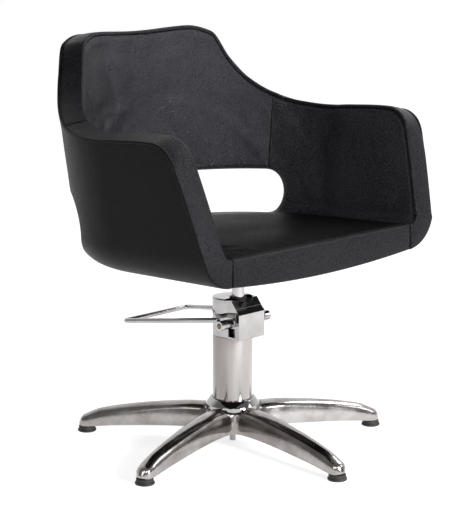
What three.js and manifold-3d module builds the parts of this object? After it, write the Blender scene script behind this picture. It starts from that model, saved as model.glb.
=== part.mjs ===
// Hair-salon styling chair: an upholstered bucket shell on a foot-pumped hydraulic column with a
// five-legged star base. Millimetres, +Z up. The origin is on the floor under the column's axis.
// The sitter faces -Y, and the sitter's right hand is on the -X side.
import * as THREE from 'three';
import { mergeVertices } from 'three/addons/utils/BufferGeometryUtils.js';
import Module from 'manifold-3d';

const wasm = await Module();
wasm.setup();

// ---------------------------------------------------------------- driving dimensions
const GAP = 0.3;                       // left between neighbouring pieces

// bucket shell: a plan outline of two straight sides and a super-ellipse back, flaring upwards
const WALL = 50.6;                     // whole wall, outer cover to inner cover
const SEAT_FRONT_Z = 433.6;            // top of the seat at its front edge
const SEAT_BOTTOM_Z = SEAT_FRONT_Z - WALL;
const FRONT_Y = -242.1;                // front edge at seat height
const SIDE_END_Y = -3.8;               // where the straight sides turn into the back
const HALF_WIDTH = 306.4;              // outside, at seat height
const BACK_DEPTH = 285.7;              // from SIDE_END_Y to the back, at seat height
const WIDTH_FLARE = 0.148;             // growth of the half width per millimetre of height
const DEPTH_FLARE = 0.078;
const FRONT_LEAN = 0.2606;             // the arm fronts lean back as they rise
const FRONT_CURVE = 0.000201;
const ARM_CORNER_RADIUS = 54.8;        // arm top meets arm front
const INNER_FILLET = 20;               // seat meets wall, inside
const OUTER_FILLET = INNER_FILLET + WALL;
const BOTTOM_BOW = 11.4;               // the underside is crowned downwards
const INNER_RAKE = 31;                 // the seat drops this much from front to back
const OUTER_RAKE = 18;
const RAKE_FADE_Z = 560;               // above this height the walls are not raked
const ARM_ROUNDNESS = 2.05;            // super-ellipse exponent at arm height
const BACK_ROUNDNESS = 2.3;            // and at the top of the back
const ARM_ROUNDNESS_Z = 630;
const BACK_TOP_Z = 785;
// rim height along the plan: 0 is the front, 1 where the side ends, 2 the middle of the back
const RIM_STATIONS = [0, 0.45, 0.85, 1.08, 1.22, 1.36, 1.48, 1.58, 1.68, 1.8, 2.0];
const RIM_HEIGHTS = [634, 639.8, 634.3, 629.4, 633.4, 649.7, 677.7, 718.5, 773, 786.4, 782.1];
// layers of the wall, as depths below the outer face
const COVER_DEPTH = 6;
const CORE_DEPTH = 34;
const BAND = 4;                        // thickness of the band that closes the rim
const BAND_SEAM = 1.3;                 // station of the band seam beside the back
const PANEL_SEAM = 1.36;               // station of the seam between arm and back panels
// lumbar slot through the back
const SLOT_BOTTOM_Z = 405;
const SLOT_TOP_Z = 500;
const SLOT_END = 1.27;

// star base
const LEG_ANGLES = [49, 121, 193, 265, 337];
const GLIDE_RADIUS = 300;              // from the column's axis to each glide
const HUB_R = 47;
const HUB_TOP_Z = 70.5;
const HUB_BOTTOM_Z = 27;
const TUBE_R = 39;
const TUBE_WALL = 3;
// leg stations: radius, half width, lower edge, side crease, ridge
const LEG = [
  [34, 24, 29, 71, 78], [97, 22, 30, 70, 77], [150, 20, 27, 62.5, 71.5], [201, 19, 23, 53, 64],
  [245, 18, 19, 43.5, 55.5], [280, 17, 14.5, 34, 46], [298, 16, 12.4, 29.5, 37.5],
  [309, 12.5, 12.4, 26, 31], [316, 6, 14.5, 20.5, 22.5],
];
const LEG_SKIN = 4.5;
const LEG_CAVITY_END = 280;

// pump
const TUBE_BOTTOM_Z = 32;
const HEAD_Z = 218.5;
const HEAD_TOP_Z = 292;
const HEAD_R = 39.3;
const ROD_Y = -15;                     // the piston rod stands in front of the column's axis
const ROD_R = 12.5;
const ROD_TOP_Z = 345;
const BOX_HALF_WIDTH = 34.5;
const BOX_FRONT_Y = -52;
const BOX_COVER_Y = -43.5;             // joint between the head and its front cover
const BOX_CHAMFER_Y = -32;
const BOX_CHAMFER_Z = 267.3;
const BOX_WALL = 4.5;
const SHAFT_Y = -33;
const SHAFT_Z = 250;
const SHAFT_R = 5;
const ROCKER_REACH = 21;               // shaft axis to plunger axis
const PLUNGER_X = 24;

// pedal loop
const PEDAL_R = 5;
const PEDAL_START = new THREE.Vector3(60, -22.5, 258.5);
const PEDAL_CORNER = new THREE.Vector3(85, 219, 220);

// seat mounting
const PLATE_HALF = 80;
const PLATE_Z = 356;
const PLATE_THICKNESS = 6;
const BOLT_OFFSET = 65;

// ---------------------------------------------------------------- materials
const paint = (color, roughness, metalness) =>
  new THREE.MeshStandardMaterial({ color, roughness, metalness });
const finish = {
  vinyl: () => paint(0x141415, 0.45, 0),
  chrome: () => paint(0xd9d7d6, 0.08, 1),
  aluminium: () => paint(0xc4bfbc, 0.16, 1),
  rubber: () => paint(0x121212, 0.7, 0),
  steel: () => paint(0x8d8f92, 0.35, 1),
  wood: () => paint(0xb08a5a, 0.8, 0),
  plastic: () => paint(0xd8d4c8, 0.5, 0),
};

// ---------------------------------------------------------------- helpers
const chair = new THREE.Group();

// shared vertices merged and collapsed triangles dropped, positions only
function clean(geometry) {
  const bare = geometry.index ? geometry.clone() : geometry;
  bare.deleteAttribute('normal');
  bare.deleteAttribute('uv');
  const merged = mergeVertices(bare, 1e-4);
  const kept = [];
  for (let i = 0; i < merged.index.count; i += 3) {
    const [a, b, c] = [0, 1, 2].map((k) => merged.index.getX(i + k));
    if (a !== b && b !== c && c !== a) kept.push(a, b, c);
  }
  merged.setIndex(kept);
  return merged;
}

function add(name, geometry, makeMaterial) {
  const whole = clean(geometry);
  whole.computeVertexNormals();
  const mesh = new THREE.Mesh(whole, makeMaterial());
  mesh.name = name;
  chair.add(mesh);
  return mesh;
}

function solid(geometry) {
  const whole = clean(geometry);
  const vertProperties = new Float32Array(whole.attributes.position.array);
  const triVerts = new Uint32Array(whole.index.array);
  return new wasm.Manifold(new wasm.Mesh({ numProp: 3, vertProperties, triVerts }));
}

function shape(manifold) {
  const { vertProperties, triVerts } = manifold.getMesh();
  const geometry = new THREE.BufferGeometry();
  geometry.setAttribute('position', new THREE.BufferAttribute(new Float32Array(vertProperties), 3));
  geometry.setIndex(Array.from(triVerts));
  return geometry;
}

const join = (...geometries) => shape(geometries.map(solid).reduce((a, b) => a.add(b)));
const cut = (geometry, ...tools) =>
  shape(tools.map(solid).reduce((a, b) => a.subtract(b), solid(geometry)));

// a solid of revolution about +Z through (x, y), from [radius, z] points
function turned(points, segments, x = 0, y = 0) {
  const profile = points.map(([r, z]) => new THREE.Vector2(r, z));
  return new THREE.LatheGeometry(profile, segments).rotateX(Math.PI / 2).translate(x, y, 0);
}

const rod = (r, z0, z1, segments, x = 0, y = 0) =>
  turned([[0, z0], [r, z0], [r, z1], [0, z1]], segments, x, y);

const ring = (inner, outer, z0, z1, segments, x = 0, y = 0) =>
  turned([[inner, z0], [outer, z0], [outer, z1], [inner, z1], [inner, z0]], segments, x, y);

// the same shapes lying along +X on the lever shaft's axis
const onShaft = (geometry) => geometry.rotateY(Math.PI / 2).translate(0, SHAFT_Y, SHAFT_Z);

const block = (x0, x1, y0, y1, z0, z1) =>
  new THREE.BoxGeometry(x1 - x0, y1 - y0, z1 - z0)
    .translate((x0 + x1) / 2, (y0 + y1) / 2, (z0 + z1) / 2);

// a prism along X from an outline of [y, z] points
function prismX(outline, x0, x1) {
  const flat = new THREE.Shape(outline.map(([y, z]) => new THREE.Vector2(y, z)));
  const geometry = new THREE.ExtrudeGeometry(flat, { depth: x1 - x0, bevelEnabled: false });
  return geometry.rotateX(Math.PI / 2).rotateZ(Math.PI / 2).translate(x0, 0, 0);
}

// a round bar along a curve
function bar(curve, radius, sides, steps) {
  const section = new THREE.Shape();
  for (let i = 0; i < sides; i += 1) {
    const a = (i / sides) * 2 * Math.PI;
    const p = [radius * Math.cos(a), radius * Math.sin(a)];
    if (i === 0) section.moveTo(...p);
    else section.lineTo(...p);
  }
  return new THREE.ExtrudeGeometry(section, { steps, extrudePath: curve, bevelEnabled: false });
}

// ---------------------------------------------------------------- bucket shell surface
const lerp = THREE.MathUtils.lerp;
const clamp = THREE.MathUtils.clamp;

// monotone cubic through the rim stations
function rimHeight(station) {
  const x = RIM_STATIONS;
  const y = RIM_HEIGHTS;
  const slope = (i) => (y[i + 1] - y[i]) / (x[i + 1] - x[i]);
  const tangent = (i) => {
    if (i === 0) return slope(0);
    if (i === x.length - 1) return 0;
    const [a, b] = [slope(i - 1), slope(i)];
    return a * b <= 0 ? 0 : (2 * a * b) / (a + b);
  };
  let i = 0;
  while (i < x.length - 2 && station > x[i + 1]) i += 1;
  const h = x[i + 1] - x[i];
  const s = clamp((station - x[i]) / h, 0, 1);
  const [s2, s3] = [s * s, s * s * s];
  return (2 * s3 - 3 * s2 + 1) * y[i] + (s3 - 2 * s2 + s) * h * tangent(i)
    + (3 * s2 - 2 * s3) * y[i + 1] + (s3 - s2) * h * tangent(i + 1);
}

function frontLine(z) {
  const rise = Math.max(0, z - SEAT_FRONT_Z);
  return FRONT_Y + FRONT_LEAN * rise + FRONT_CURVE * rise * rise;
}

// outer face of the +X half at a station and height; the front edge is moved back by inset
function outerWall(station, z, inset) {
  const halfWidth = HALF_WIDTH + WIDTH_FLARE * (z - SEAT_FRONT_Z);
  const depth = BACK_DEPTH + DEPTH_FLARE * (z - SEAT_FRONT_Z);
  if (station <= 1) {
    const point = new THREE.Vector3(halfWidth, lerp(frontLine(z) + inset, SIDE_END_Y, station), z);
    return { point, normal: new THREE.Vector3(1, 0, -WIDTH_FLARE).normalize() };
  }
  const roundness = lerp(ARM_ROUNDNESS, BACK_ROUNDNESS,
    clamp((z - ARM_ROUNDNESS_Z) / (BACK_TOP_Z - ARM_ROUNDNESS_Z), 0, 1));
  const angle = (station - 1) * Math.PI / 2;
  const u = Math.max(0, Math.cos(angle)) ** (2 / roundness);
  const v = Math.sin(angle) ** (2 / roundness);
  const point = new THREE.Vector3(station >= 2 ? 0 : halfWidth * u, SIDE_END_Y + depth * v, z);
  const [nx, ny] = [u ** (roundness - 1) / halfWidth, v ** (roundness - 1) / depth];
  const normal = new THREE.Vector3(nx, ny, -(nx * u * WIDTH_FLARE + ny * v * DEPTH_FLARE));
  return { point, normal: normal.normalize() };
}

// top of the wall at a station: the rim height, rounded off where the arm meets its front edge
function wallTop(station, inset) {
  const rise = RIM_HEIGHTS[0] - SEAT_FRONT_Z;
  const cornerY = frontLine(RIM_HEIGHTS[0]) + inset;
  const length = SIDE_END_Y - FRONT_Y - inset;
  const lean = FRONT_LEAN + 2 * FRONT_CURVE * rise;
  const reach = ARM_CORNER_RADIUS * Math.tan(Math.atan2(1, lean) / 2) - inset / 2;
  const stationAt = (y, z) => (y - frontLine(z) - inset) / (SIDE_END_Y - frontLine(z) - inset);
  const drop = reach / Math.hypot(1, lean);
  const endZ = rimHeight((cornerY + reach - FRONT_Y) / length) - inset;
  const corner = (s) => {
    const [a, b, c] = [(1 - s) ** 2, 2 * s * (1 - s), s * s];
    const startZ = RIM_HEIGHTS[0] - inset - drop;
    const z = a * startZ + b * (RIM_HEIGHTS[0] - inset) + c * endZ;
    const y = a * (frontLine(startZ) + inset) + b * cornerY + c * (cornerY + reach);
    return { z, station: stationAt(y, z) };
  };
  if (station >= corner(1).station) {
    const y = lerp(cornerY, SIDE_END_Y, Math.min(station, 1));
    return rimHeight(station < 1 ? (y - FRONT_Y) / (SIDE_END_Y - FRONT_Y) : station) - inset;
  }
  let [low, high] = [0, 1];
  for (let i = 0; i < 30; i += 1) {
    const middle = (low + high) / 2;
    if (corner(middle).station < station) low = middle;
    else high = middle;
  }
  return corner(low).z;
}

// any point in the shell wall: side is +1 or -1; station runs front to back; path is 0 at the rim,
// 1 at the foot of the wall, 2 at the edge of the floor and 3 on the centre line; depth is below the
// outer face; inset moves the front edge and the rim inwards
function shellPoint(side, station, path, depth, inset = 0) {
  const filletZ = SEAT_BOTTOM_Z + OUTER_FILLET;
  const foot = outerWall(station, filletZ, inset);
  const footZ = filletZ + OUTER_FILLET * foot.normal.z;
  let point;
  if (path <= 1) {
    const z = lerp(wallTop(station, inset), footZ, path);
    const wall = outerWall(station, z, inset);
    point = wall.point.addScaledVector(wall.normal, -depth);
  } else {
    const tangent = outerWall(station, footZ, inset).point;
    const centre = tangent.addScaledVector(foot.normal, -OUTER_FILLET);
    const lean = Math.asin(-foot.normal.z);
    const turn = lerp(lean, Math.PI / 2, Math.min(path - 1, 1));
    const flat = new THREE.Vector3(foot.normal.x, foot.normal.y, 0).normalize();
    const direction = flat.multiplyScalar(Math.cos(turn)).setZ(-Math.sin(turn));
    point = centre.addScaledVector(direction, OUTER_FILLET - depth);
    const width = point.x / HALF_WIDTH;
    if (path > 2) point.x *= 3 - path;
    if (path > 2 && depth < COVER_DEPTH) {
      const bow = BOTTOM_BOW * clamp(width * 1.5, 0, 1) * (1 - depth / COVER_DEPTH);
      point.z -= bow * (1 - (3 - path) ** 2);
    }
  }
  const backY = SIDE_END_Y + BACK_DEPTH;
  const along = clamp((point.y - FRONT_Y) / (backY - FRONT_Y), 0, 1);
  const fade = 1 - THREE.MathUtils.smoothstep(point.z, SEAT_FRONT_Z, RAKE_FADE_Z);
  point.z -= fade * along * lerp(OUTER_RAKE, INNER_RAKE, depth / WALL);
  point.x *= side;
  return point;
}

// a slab of the shell between two depths, over a grid of [side, station, path] places
function shellSlab(grid, outerDepth, innerDepth) {
  const inset = BAND / 2;               // the rim cutter trims the edge afterwards
  const outer = [];
  const inner = [];
  const ids = new Map();
  const index = grid.map((row) => row.map(([side, station, path]) => {
    const a = shellPoint(side, station, path, outerDepth, inset);
    const b = shellPoint(side, station, path, innerDepth, inset);
    const key = [...a.toArray(), ...b.toArray()].map((value) => Math.round(value * 1000)).join();
    if (!ids.has(key)) {
      ids.set(key, outer.length);
      outer.push(a);
      inner.push(b);
    }
    return ids.get(key);
  }));
  const faces = [];
  for (let i = 0; i + 1 < index.length; i += 1) {
    for (let j = 0; j + 1 < index[i].length; j += 1) {
      const [a, b, c, d] = [index[i][j], index[i + 1][j], index[i + 1][j + 1], index[i][j + 1]];
      faces.push([a, b, c], [a, c, d]);
    }
  }
  const kept = faces.filter(([a, b, c]) => a !== b && b !== c && c !== a);
  const edges = new Set(kept.flatMap(([a, b, c]) => [[a, b], [b, c], [c, a]].map(String)));
  const count = outer.length;
  const triangles = [];
  for (const [a, b, c] of kept) {
    triangles.push(a, b, c, count + a, count + c, count + b);
    for (const [p, q] of [[a, b], [b, c], [c, a]]) {
      if (!edges.has(String([q, p]))) triangles.push(q, p, count + p, q, count + p, count + q);
    }
  }
  const geometry = new THREE.BufferGeometry();
  const places = [...outer, ...inner].flatMap((point) => point.toArray());
  geometry.setAttribute('position', new THREE.Float32BufferAttribute(places, 3));
  geometry.setIndex(triangles);
  return outward(geometry);
}

// triangles turned round if the solid came out inside out
function outward(geometry) {
  const at = (i) => new THREE.Vector3().fromBufferAttribute(geometry.attributes.position, i);
  const index = geometry.index.array;
  let volume = 0;
  for (let i = 0; i < index.length; i += 3) {
    volume += at(index[i]).dot(at(index[i + 1]).cross(at(index[i + 2])));
  }
  if (volume < 0) {
    for (let i = 0; i < index.length; i += 3) [index[i], index[i + 1]] = [index[i + 1], index[i]];
  }
  return geometry;
}

const steps = (from, to, count) =>
  Array.from({ length: count + 1 }, (_, i) => lerp(from, to, i / count));

const SEAM = 0.0015;                   // half a panel seam, in stations
const FOOT_SEAM = 0.004;               // half the seam between walls and floor, in path units
const armStations = [0, 0.03, 0.09, 0.17, 0.45, 0.75, 1, 1.12, 1.24, PANEL_SEAM - SEAM];
const backStations = steps(PANEL_SEAM + SEAM, 2, 6);
const backRow = [
  ...backStations.map((station) => [-1, station]),
  ...backStations.slice(0, -1).reverse().map((station) => [1, station]),
];
const floorStations = [0, 0.5, 1, 1.2, 1.4, 1.6, 1.8, 1.93, 2];
const floorPaths = [1 + FOOT_SEAM, 1.33, 1.67, 2, 2.5, 3];

const armGrid = (side) =>
  armStations.map((station) => steps(0, 1 - FOOT_SEAM, 4).map((path) => [side, station, path]));

const backGrid = backRow.map(([side, station]) => {
  const top = wallTop(station, 0);
  const foot = SEAT_BOTTOM_Z + OUTER_FILLET;
  const bottom = (top - SLOT_TOP_Z + 6) / (top - foot);
  return steps(0, bottom, 3).map((path) => [side, station, path]);
});

const floorGrid = floorStations.map((station) => [
  ...floorPaths.map((path) => [-1, station, path]),
  ...floorPaths.slice(0, -1).reverse().map((path) => [1, station, path]),
]);

// cutter for the lumbar slot, with round ends
function slotCutter() {
  const middle = (SLOT_BOTTOM_Z + SLOT_TOP_Z) / 2;
  const half = (SLOT_TOP_Z - SLOT_BOTTOM_Z) / 2;
  const roundEnd = 0.1;                // stations over which the end closes
  const ends = steps(0, 1, 4).map((s) => SLOT_END + roundEnd * (1 - Math.cos(s * Math.PI / 2)));
  const stations = [...ends, ...steps(SLOT_END + roundEnd, 2, 6).slice(1)];
  const profile = (side, station) => {
    const s = clamp((SLOT_END + roundEnd - station) / roundEnd, 0, 1);
    const height = Math.max(half * Math.sqrt(1 - s * s), 0.5);
    const reach = (z, depth) => {
      const wall = outerWall(station, z, 0);
      const flat = wall.normal.clone().setZ(0).normalize();
      const point = wall.point.addScaledVector(flat, -depth).setZ(z);
      point.x *= side;
      return point;
    };
    return [[middle - height, -25], [middle + height, -25], [middle + height, 90],
      [middle - height, 90]].map(([z, depth]) => reach(z, depth));
  };
  const rows = [
    ...stations.map((station) => profile(-1, station)),
    ...stations.slice(0, -1).reverse().map((station) => profile(1, station)),
  ];
  return loft(rows);
}

// a closed solid through a row of closed sections with equal point counts
function loft(sections) {
  const n = sections[0].length;
  const triangles = [];
  for (let i = 0; i + 1 < sections.length; i += 1) {
    for (let j = 0; j < n; j += 1) {
      const [a, b] = [i * n + j, i * n + ((j + 1) % n)];
      triangles.push(a, b, a + n, b, b + n, a + n);
    }
  }
  const last = (sections.length - 1) * n;
  for (let j = 1; j + 1 < n; j += 1) {
    triangles.push(0, j + 1, j, last, last + j, last + j + 1);
  }
  const geometry = new THREE.BufferGeometry();
  const places = sections.flat().flatMap((point) => point.toArray());
  geometry.setAttribute('position', new THREE.Float32BufferAttribute(places, 3));
  geometry.setIndex(triangles);
  return outward(geometry);
}

// the runs of the rim band as [side, station, path] places, each end drawn out by stretch
function bandRuns(stretch) {
  const front = steps(2.02 - stretch, 3, 4);
  const back = steps(BAND_SEAM + SEAM, 2, 9);
  if (stretch > 0) back.unshift(BAND_SEAM + SEAM - stretch);
  const arm = (side) => [
    ...steps(2 + stretch, 1, 5).map((path) => [side, 0, path]),
    ...steps(0.75, 0, 3).map((path) => [side, 0, path]),
    ...[0.012, 0.035, 0.07, 0.115, 0.17, 0.3, 0.5, 0.75, 1, 1.15,
      BAND_SEAM - SEAM].map((s) => [side, s, 0]),
    ...(stretch > 0 ? [[side, BAND_SEAM - SEAM + stretch, 0]] : []),
  ];
  return {
    rim_band_front: [...front.map((path) => [-1, 0, path]),
      ...front.slice(0, -1).reverse().map((path) => [1, 0, path])],
    rim_band_right: arm(-1),
    rim_band_left: arm(1),
    rim_band_back: [...back.map((station) => [-1, station, 0]),
      ...back.slice(0, -1).reverse().map((station) => [1, station, 0])],
  };
}

// a strip along the rim, between two depths and two insets
function rimStrip(places, depths, insets) {
  return loft(places.map(([side, station, path]) => {
    const corner = (depth, inset) => shellPoint(side, station, path, depth, inset);
    return [corner(depths[0], insets[0]), corner(depths[1], insets[0]),
      corner(depths[1], insets[1]), corner(depths[0], insets[1])];
  }));
}

// ---------------------------------------------------------------- shell pieces
function addShell() {
  const slot = slotCutter();
  const rim = Object.values(bandRuns(0.03))
    .map((places) => rimStrip(places, [-4, WALL + 4], [-8, BAND + 3 * GAP]));
  const layers = [
    ['outer_cover', 0, COVER_DEPTH, finish.vinyl],
    ['core', COVER_DEPTH + GAP, CORE_DEPTH, finish.wood],
    ['pad', CORE_DEPTH + GAP, WALL, finish.vinyl],
  ];
  const names = {
    outer_cover: ['outer_cover_right', 'outer_cover_left', 'outer_cover_back', 'bottom_cover'],
    core: ['arm_core_right', 'arm_core_left', 'back_core', 'seat_core'],
    pad: ['arm_pad_right', 'arm_pad_left', 'back_pad', 'seat_pad'],
  };
  for (const [layer, from, to, material] of layers) {
    const [right, left, back, floor] = names[layer];
    add(right, cut(shellSlab(armGrid(-1), from, to), slot, ...rim), material);
    add(left, cut(shellSlab(armGrid(1), from, to), slot, ...rim), material);
    add(back, cut(shellSlab(backGrid, from, to), slot, ...rim), material);
    const tools = [slot, ...rim];
    if (layer === 'outer_cover') tools.push(mountOpening());
    if (layer === 'core') tools.push(...boltHoles(PLATE_Z, PLATE_Z + 34));
    add(floor, cut(shellSlab(floorGrid, from, to), ...tools), material);
  }
}

function addRimBands() {
  for (const [name, places] of Object.entries(bandRuns(0))) {
    add(name, rimStrip(places, [0, WALL], [0, BAND]), finish.vinyl);
  }
}

// ---------------------------------------------------------------- seat mounting
// the core's underside is a plane that falls towards the back
function coreUnderside(y) {
  const along = (y - FRONT_Y) / (SIDE_END_Y + BACK_DEPTH - FRONT_Y);
  const depth = COVER_DEPTH + GAP;
  return SEAT_BOTTOM_Z + depth - along * lerp(OUTER_RAKE, INNER_RAKE, depth / WALL);
}

const boltPlaces = [-1, 1].flatMap((sx) => [-1, 1].map((sy) =>
  [sx * BOLT_OFFSET, ROD_Y + sy * BOLT_OFFSET]));
const boltHoles = (z0, z1) => boltPlaces.map(([x, y]) => rod(4.4, z0, z1, 10, x, y));
const mountOpening = () =>
  block(-PLATE_HALF - 4, PLATE_HALF + 4, ROD_Y - PLATE_HALF - 4, ROD_Y + PLATE_HALF + 4, 340, 420);

function addSeatMount() {
  const [y0, y1] = [ROD_Y - PLATE_HALF, ROD_Y + PLATE_HALF];
  const blockZ = PLATE_Z + PLATE_THICKNESS + GAP;
  const wedge = [[y0, blockZ], [y1, blockZ], [y1, coreUnderside(y1) - GAP],
    [y0, coreUnderside(y0) - GAP]];
  add('mount_block', cut(prismX(wedge, -PLATE_HALF, PLATE_HALF), ...boltHoles(350, 400)), finish.wood);
  const plate = block(-PLATE_HALF, PLATE_HALF, y0, y1, PLATE_Z, PLATE_Z + PLATE_THICKNESS);
  add('mount_plate', cut(plate, ...boltHoles(350, 370)), finish.steel);
  add('seat_socket', turned([[13.1, 318], [22, 318], [23.5, 321], [27, PLATE_Z - GAP],
    [0, PLATE_Z - GAP], [0, 351], [13.1, 351], [13.1, 318]], 24, 0, ROD_Y), finish.chrome);
  add('swivel_pad', rod(12.6, ROD_TOP_Z + GAP, 350.7, 20, 0, ROD_Y), finish.plastic);
  boltPlaces.forEach(([x, y], i) => {
    add(`mount_bolt_${i + 1}`, turned([[0, PLATE_Z - 6], [7, PLATE_Z - 6], [7, PLATE_Z - GAP],
      [4, PLATE_Z - GAP], [4, 385], [0, 385]], 6, x, y), finish.steel);
  });
}

// ---------------------------------------------------------------- star base
function legSection([r, half, low, crease, ridge], skin) {
  const w = half - skin;
  const top = 4;
  const arch = steps(-Math.PI / 2, Math.PI / 2, top).map((a) =>
    [w * Math.sin(a), crease - skin + (ridge - crease) * Math.cos(a)]);
  const bottom = low - skin * 2;
  return [[-w, bottom], ...arch, [w, bottom]].map(([x, z]) => new THREE.Vector3(r, x, z));
}

function addStarBase() {
  let body = solid(turned([[0, HUB_BOTTOM_Z], [HUB_R - 3, HUB_BOTTOM_Z], [HUB_R, HUB_BOTTOM_Z + 3],
    [HUB_R, HUB_TOP_Z], [0, HUB_TOP_Z]], 25));
  const legs = loft(LEG.map((station) => legSection(station, 0)));
  const hollow = loft(LEG.filter(([r]) => r > 90 && r <= LEG_CAVITY_END)
    .map((station) => legSection(station, LEG_SKIN)));
  for (const angle of LEG_ANGLES) {
    const turn = THREE.MathUtils.degToRad(angle);
    body = body.add(solid(legs.clone().rotateZ(turn)))
      .subtract(solid(hollow.clone().rotateZ(turn)))
      .subtract(solid(rod(4.4, 5, 31, 8, GLIDE_RADIUS, 0).rotateZ(turn)));
  }
  body = body.subtract(solid(rod(TUBE_R + 2 * GAP, TUBE_BOTTOM_Z - GAP, 90, 28)))
    .subtract(solid(rod(6.5, 20, 40, 12)))
    .subtract(solid(rod(60, HUB_TOP_Z, 90, 20)));
  add('star_base', shape(body), finish.aluminium);
  add('hub_collar', turned([[TUBE_R + GAP, HUB_TOP_Z + GAP], [50, HUB_TOP_Z + GAP], [52.5, 74],
    [52.5, 81], [44, 92], [TUBE_R + GAP, 93], [TUBE_R + GAP, HUB_TOP_Z + GAP]], 28), finish.chrome);
  add('base_bolt', turned([[0, 3.5], [5, 3.5], [6, 4.5], [6, TUBE_BOTTOM_Z - 2 * GAP],
    [4, TUBE_BOTTOM_Z - 2 * GAP], [4, 39], [0, 39]], 14), finish.rubber);
  LEG_ANGLES.forEach((angle, i) => {
    const turn = THREE.MathUtils.degToRad(angle);
    const [x, y] = [GLIDE_RADIUS * Math.cos(turn), GLIDE_RADIUS * Math.sin(turn)];
    add(`glide_${i + 1}`, turned([[0, 0], [17.6, 0], [18.4, 1.5], [17.2, 11], [15.5, 12],
      [4.4, 12], [4.4, 4], [0, 4]], 18, x, y), finish.rubber);
    add(`glide_stud_${i + 1}`, rod(4, 4 + GAP, 30, 8, x, y), finish.steel);
  });
}

// ---------------------------------------------------------------- pump
function addPumpTube() {
  const tubeInner = TUBE_R - TUBE_WALL;
  add('pump_tube', ring(tubeInner, TUBE_R, TUBE_BOTTOM_Z, HEAD_Z - GAP, 28), finish.chrome);
  add('tube_foot', turned([[4.3, TUBE_BOTTOM_Z], [tubeInner - GAP, TUBE_BOTTOM_Z],
    [tubeInner - GAP, 44], [0, 44], [0, 40], [4.3, 40], [4.3, TUBE_BOTTOM_Z]], 24), finish.steel);
  add('pressure_cylinder', ring(14.4, 17.3, 44 + GAP, 240, 24, 0, ROD_Y), finish.steel);
  add('cylinder_gland', ring(ROD_R + 0.5, 17.3, 240 + GAP, 244.5, 24, 0, ROD_Y), finish.steel);
}

function addPumpHead() {
  const boxTop = (y) => lerp(HEAD_TOP_Z, BOX_CHAMFER_Z,
    (BOX_CHAMFER_Y - y) / (BOX_CHAMFER_Y - BOX_FRONT_Y));
  const boxOutline = [[0, HEAD_Z], [BOX_COVER_Y, HEAD_Z], [BOX_COVER_Y, boxTop(BOX_COVER_Y)],
    [BOX_CHAMFER_Y, HEAD_TOP_Z], [0, HEAD_TOP_Z]];
  const inner = BOX_HALF_WIDTH - BOX_WALL;
  const outside = join(rod(HEAD_R, HEAD_Z, HEAD_TOP_Z, 28),
    prismX(boxOutline, -BOX_HALF_WIDTH, BOX_HALF_WIDTH));
  const window = (x) => block(x - 6, x + 6, -41, -23, HEAD_Z + 3.2, 239.5);
  add('pump_head', cut(outside,
    rod(34.6, HEAD_Z - 1, 283, 24),
    block(-inner, inner, BOX_COVER_Y - 1, 0, HEAD_Z + 4, 272),
    rod(ROD_R + 0.5, 280, 300, 24, 0, ROD_Y),
    rod(17, 288, 300, 24, 0, ROD_Y),
    onShaft(rod(7.9, -40, 40, 16)),
    window(-BOX_HALF_WIDTH + 2), window(BOX_HALF_WIDTH - 2)), finish.chrome);
  add('housing_cover', prismX([[BOX_COVER_Y - GAP, HEAD_Z - 1], [BOX_FRONT_Y, HEAD_Z - 1],
    [BOX_FRONT_Y, BOX_CHAMFER_Z], [BOX_COVER_Y - GAP, boxTop(BOX_COVER_Y - GAP)]],
  -BOX_HALF_WIDTH, BOX_HALF_WIDTH), finish.chrome);
  add('rod_wiper_seal', turned([[ROD_R + 0.3, 288 + GAP], [16.7, 288 + GAP], [16.7, 293],
    [14.5, 295], [ROD_R + 0.3, 295], [ROD_R + 0.3, 288 + GAP]], 24, 0, ROD_Y), finish.rubber);
}

function addPlunger() {
  const y = SHAFT_Y + ROCKER_REACH;
  add('plunger_barrel', ring(4.4, 6.6, 44 + GAP, 215, 14, PLUNGER_X, y), finish.steel);
  add('plunger', turned([[0, 170], [4, 170], [4, 240], [6.8, 240], [6.8, 242], [3, 242],
    [3, 244.8], [2, 245.5], [0, 245.5]], 14, PLUNGER_X, y), finish.steel);
  const turns = 4;
  const [z0, z1] = [216.2, 239];
  const coil = new THREE.CatmullRomCurve3(steps(0, 1, turns * 10).map((s) => new THREE.Vector3(
    PLUNGER_X + 5.6 * Math.cos(s * turns * 2 * Math.PI),
    y + 5.6 * Math.sin(s * turns * 2 * Math.PI), lerp(z0, z1, s))));
  add('plunger_spring', bar(coil, 0.7, 5, turns * 9), finish.steel);
}

function addPiston() {
  add('piston_rod', rod(ROD_R, 80 + GAP, ROD_TOP_Z, 24, 0, ROD_Y), finish.chrome);
  add('piston', turned([[0, 60], [13.6, 60], [13.6, 66], [11.5, 66], [11.5, 71], [13.6, 71],
    [13.6, 80], [0, 80]], 24, 0, ROD_Y), finish.steel);
  add('piston_seal', ring(11.8, 13.9, 66 + GAP, 71 - GAP, 24, 0, ROD_Y), finish.rubber);
}

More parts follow.
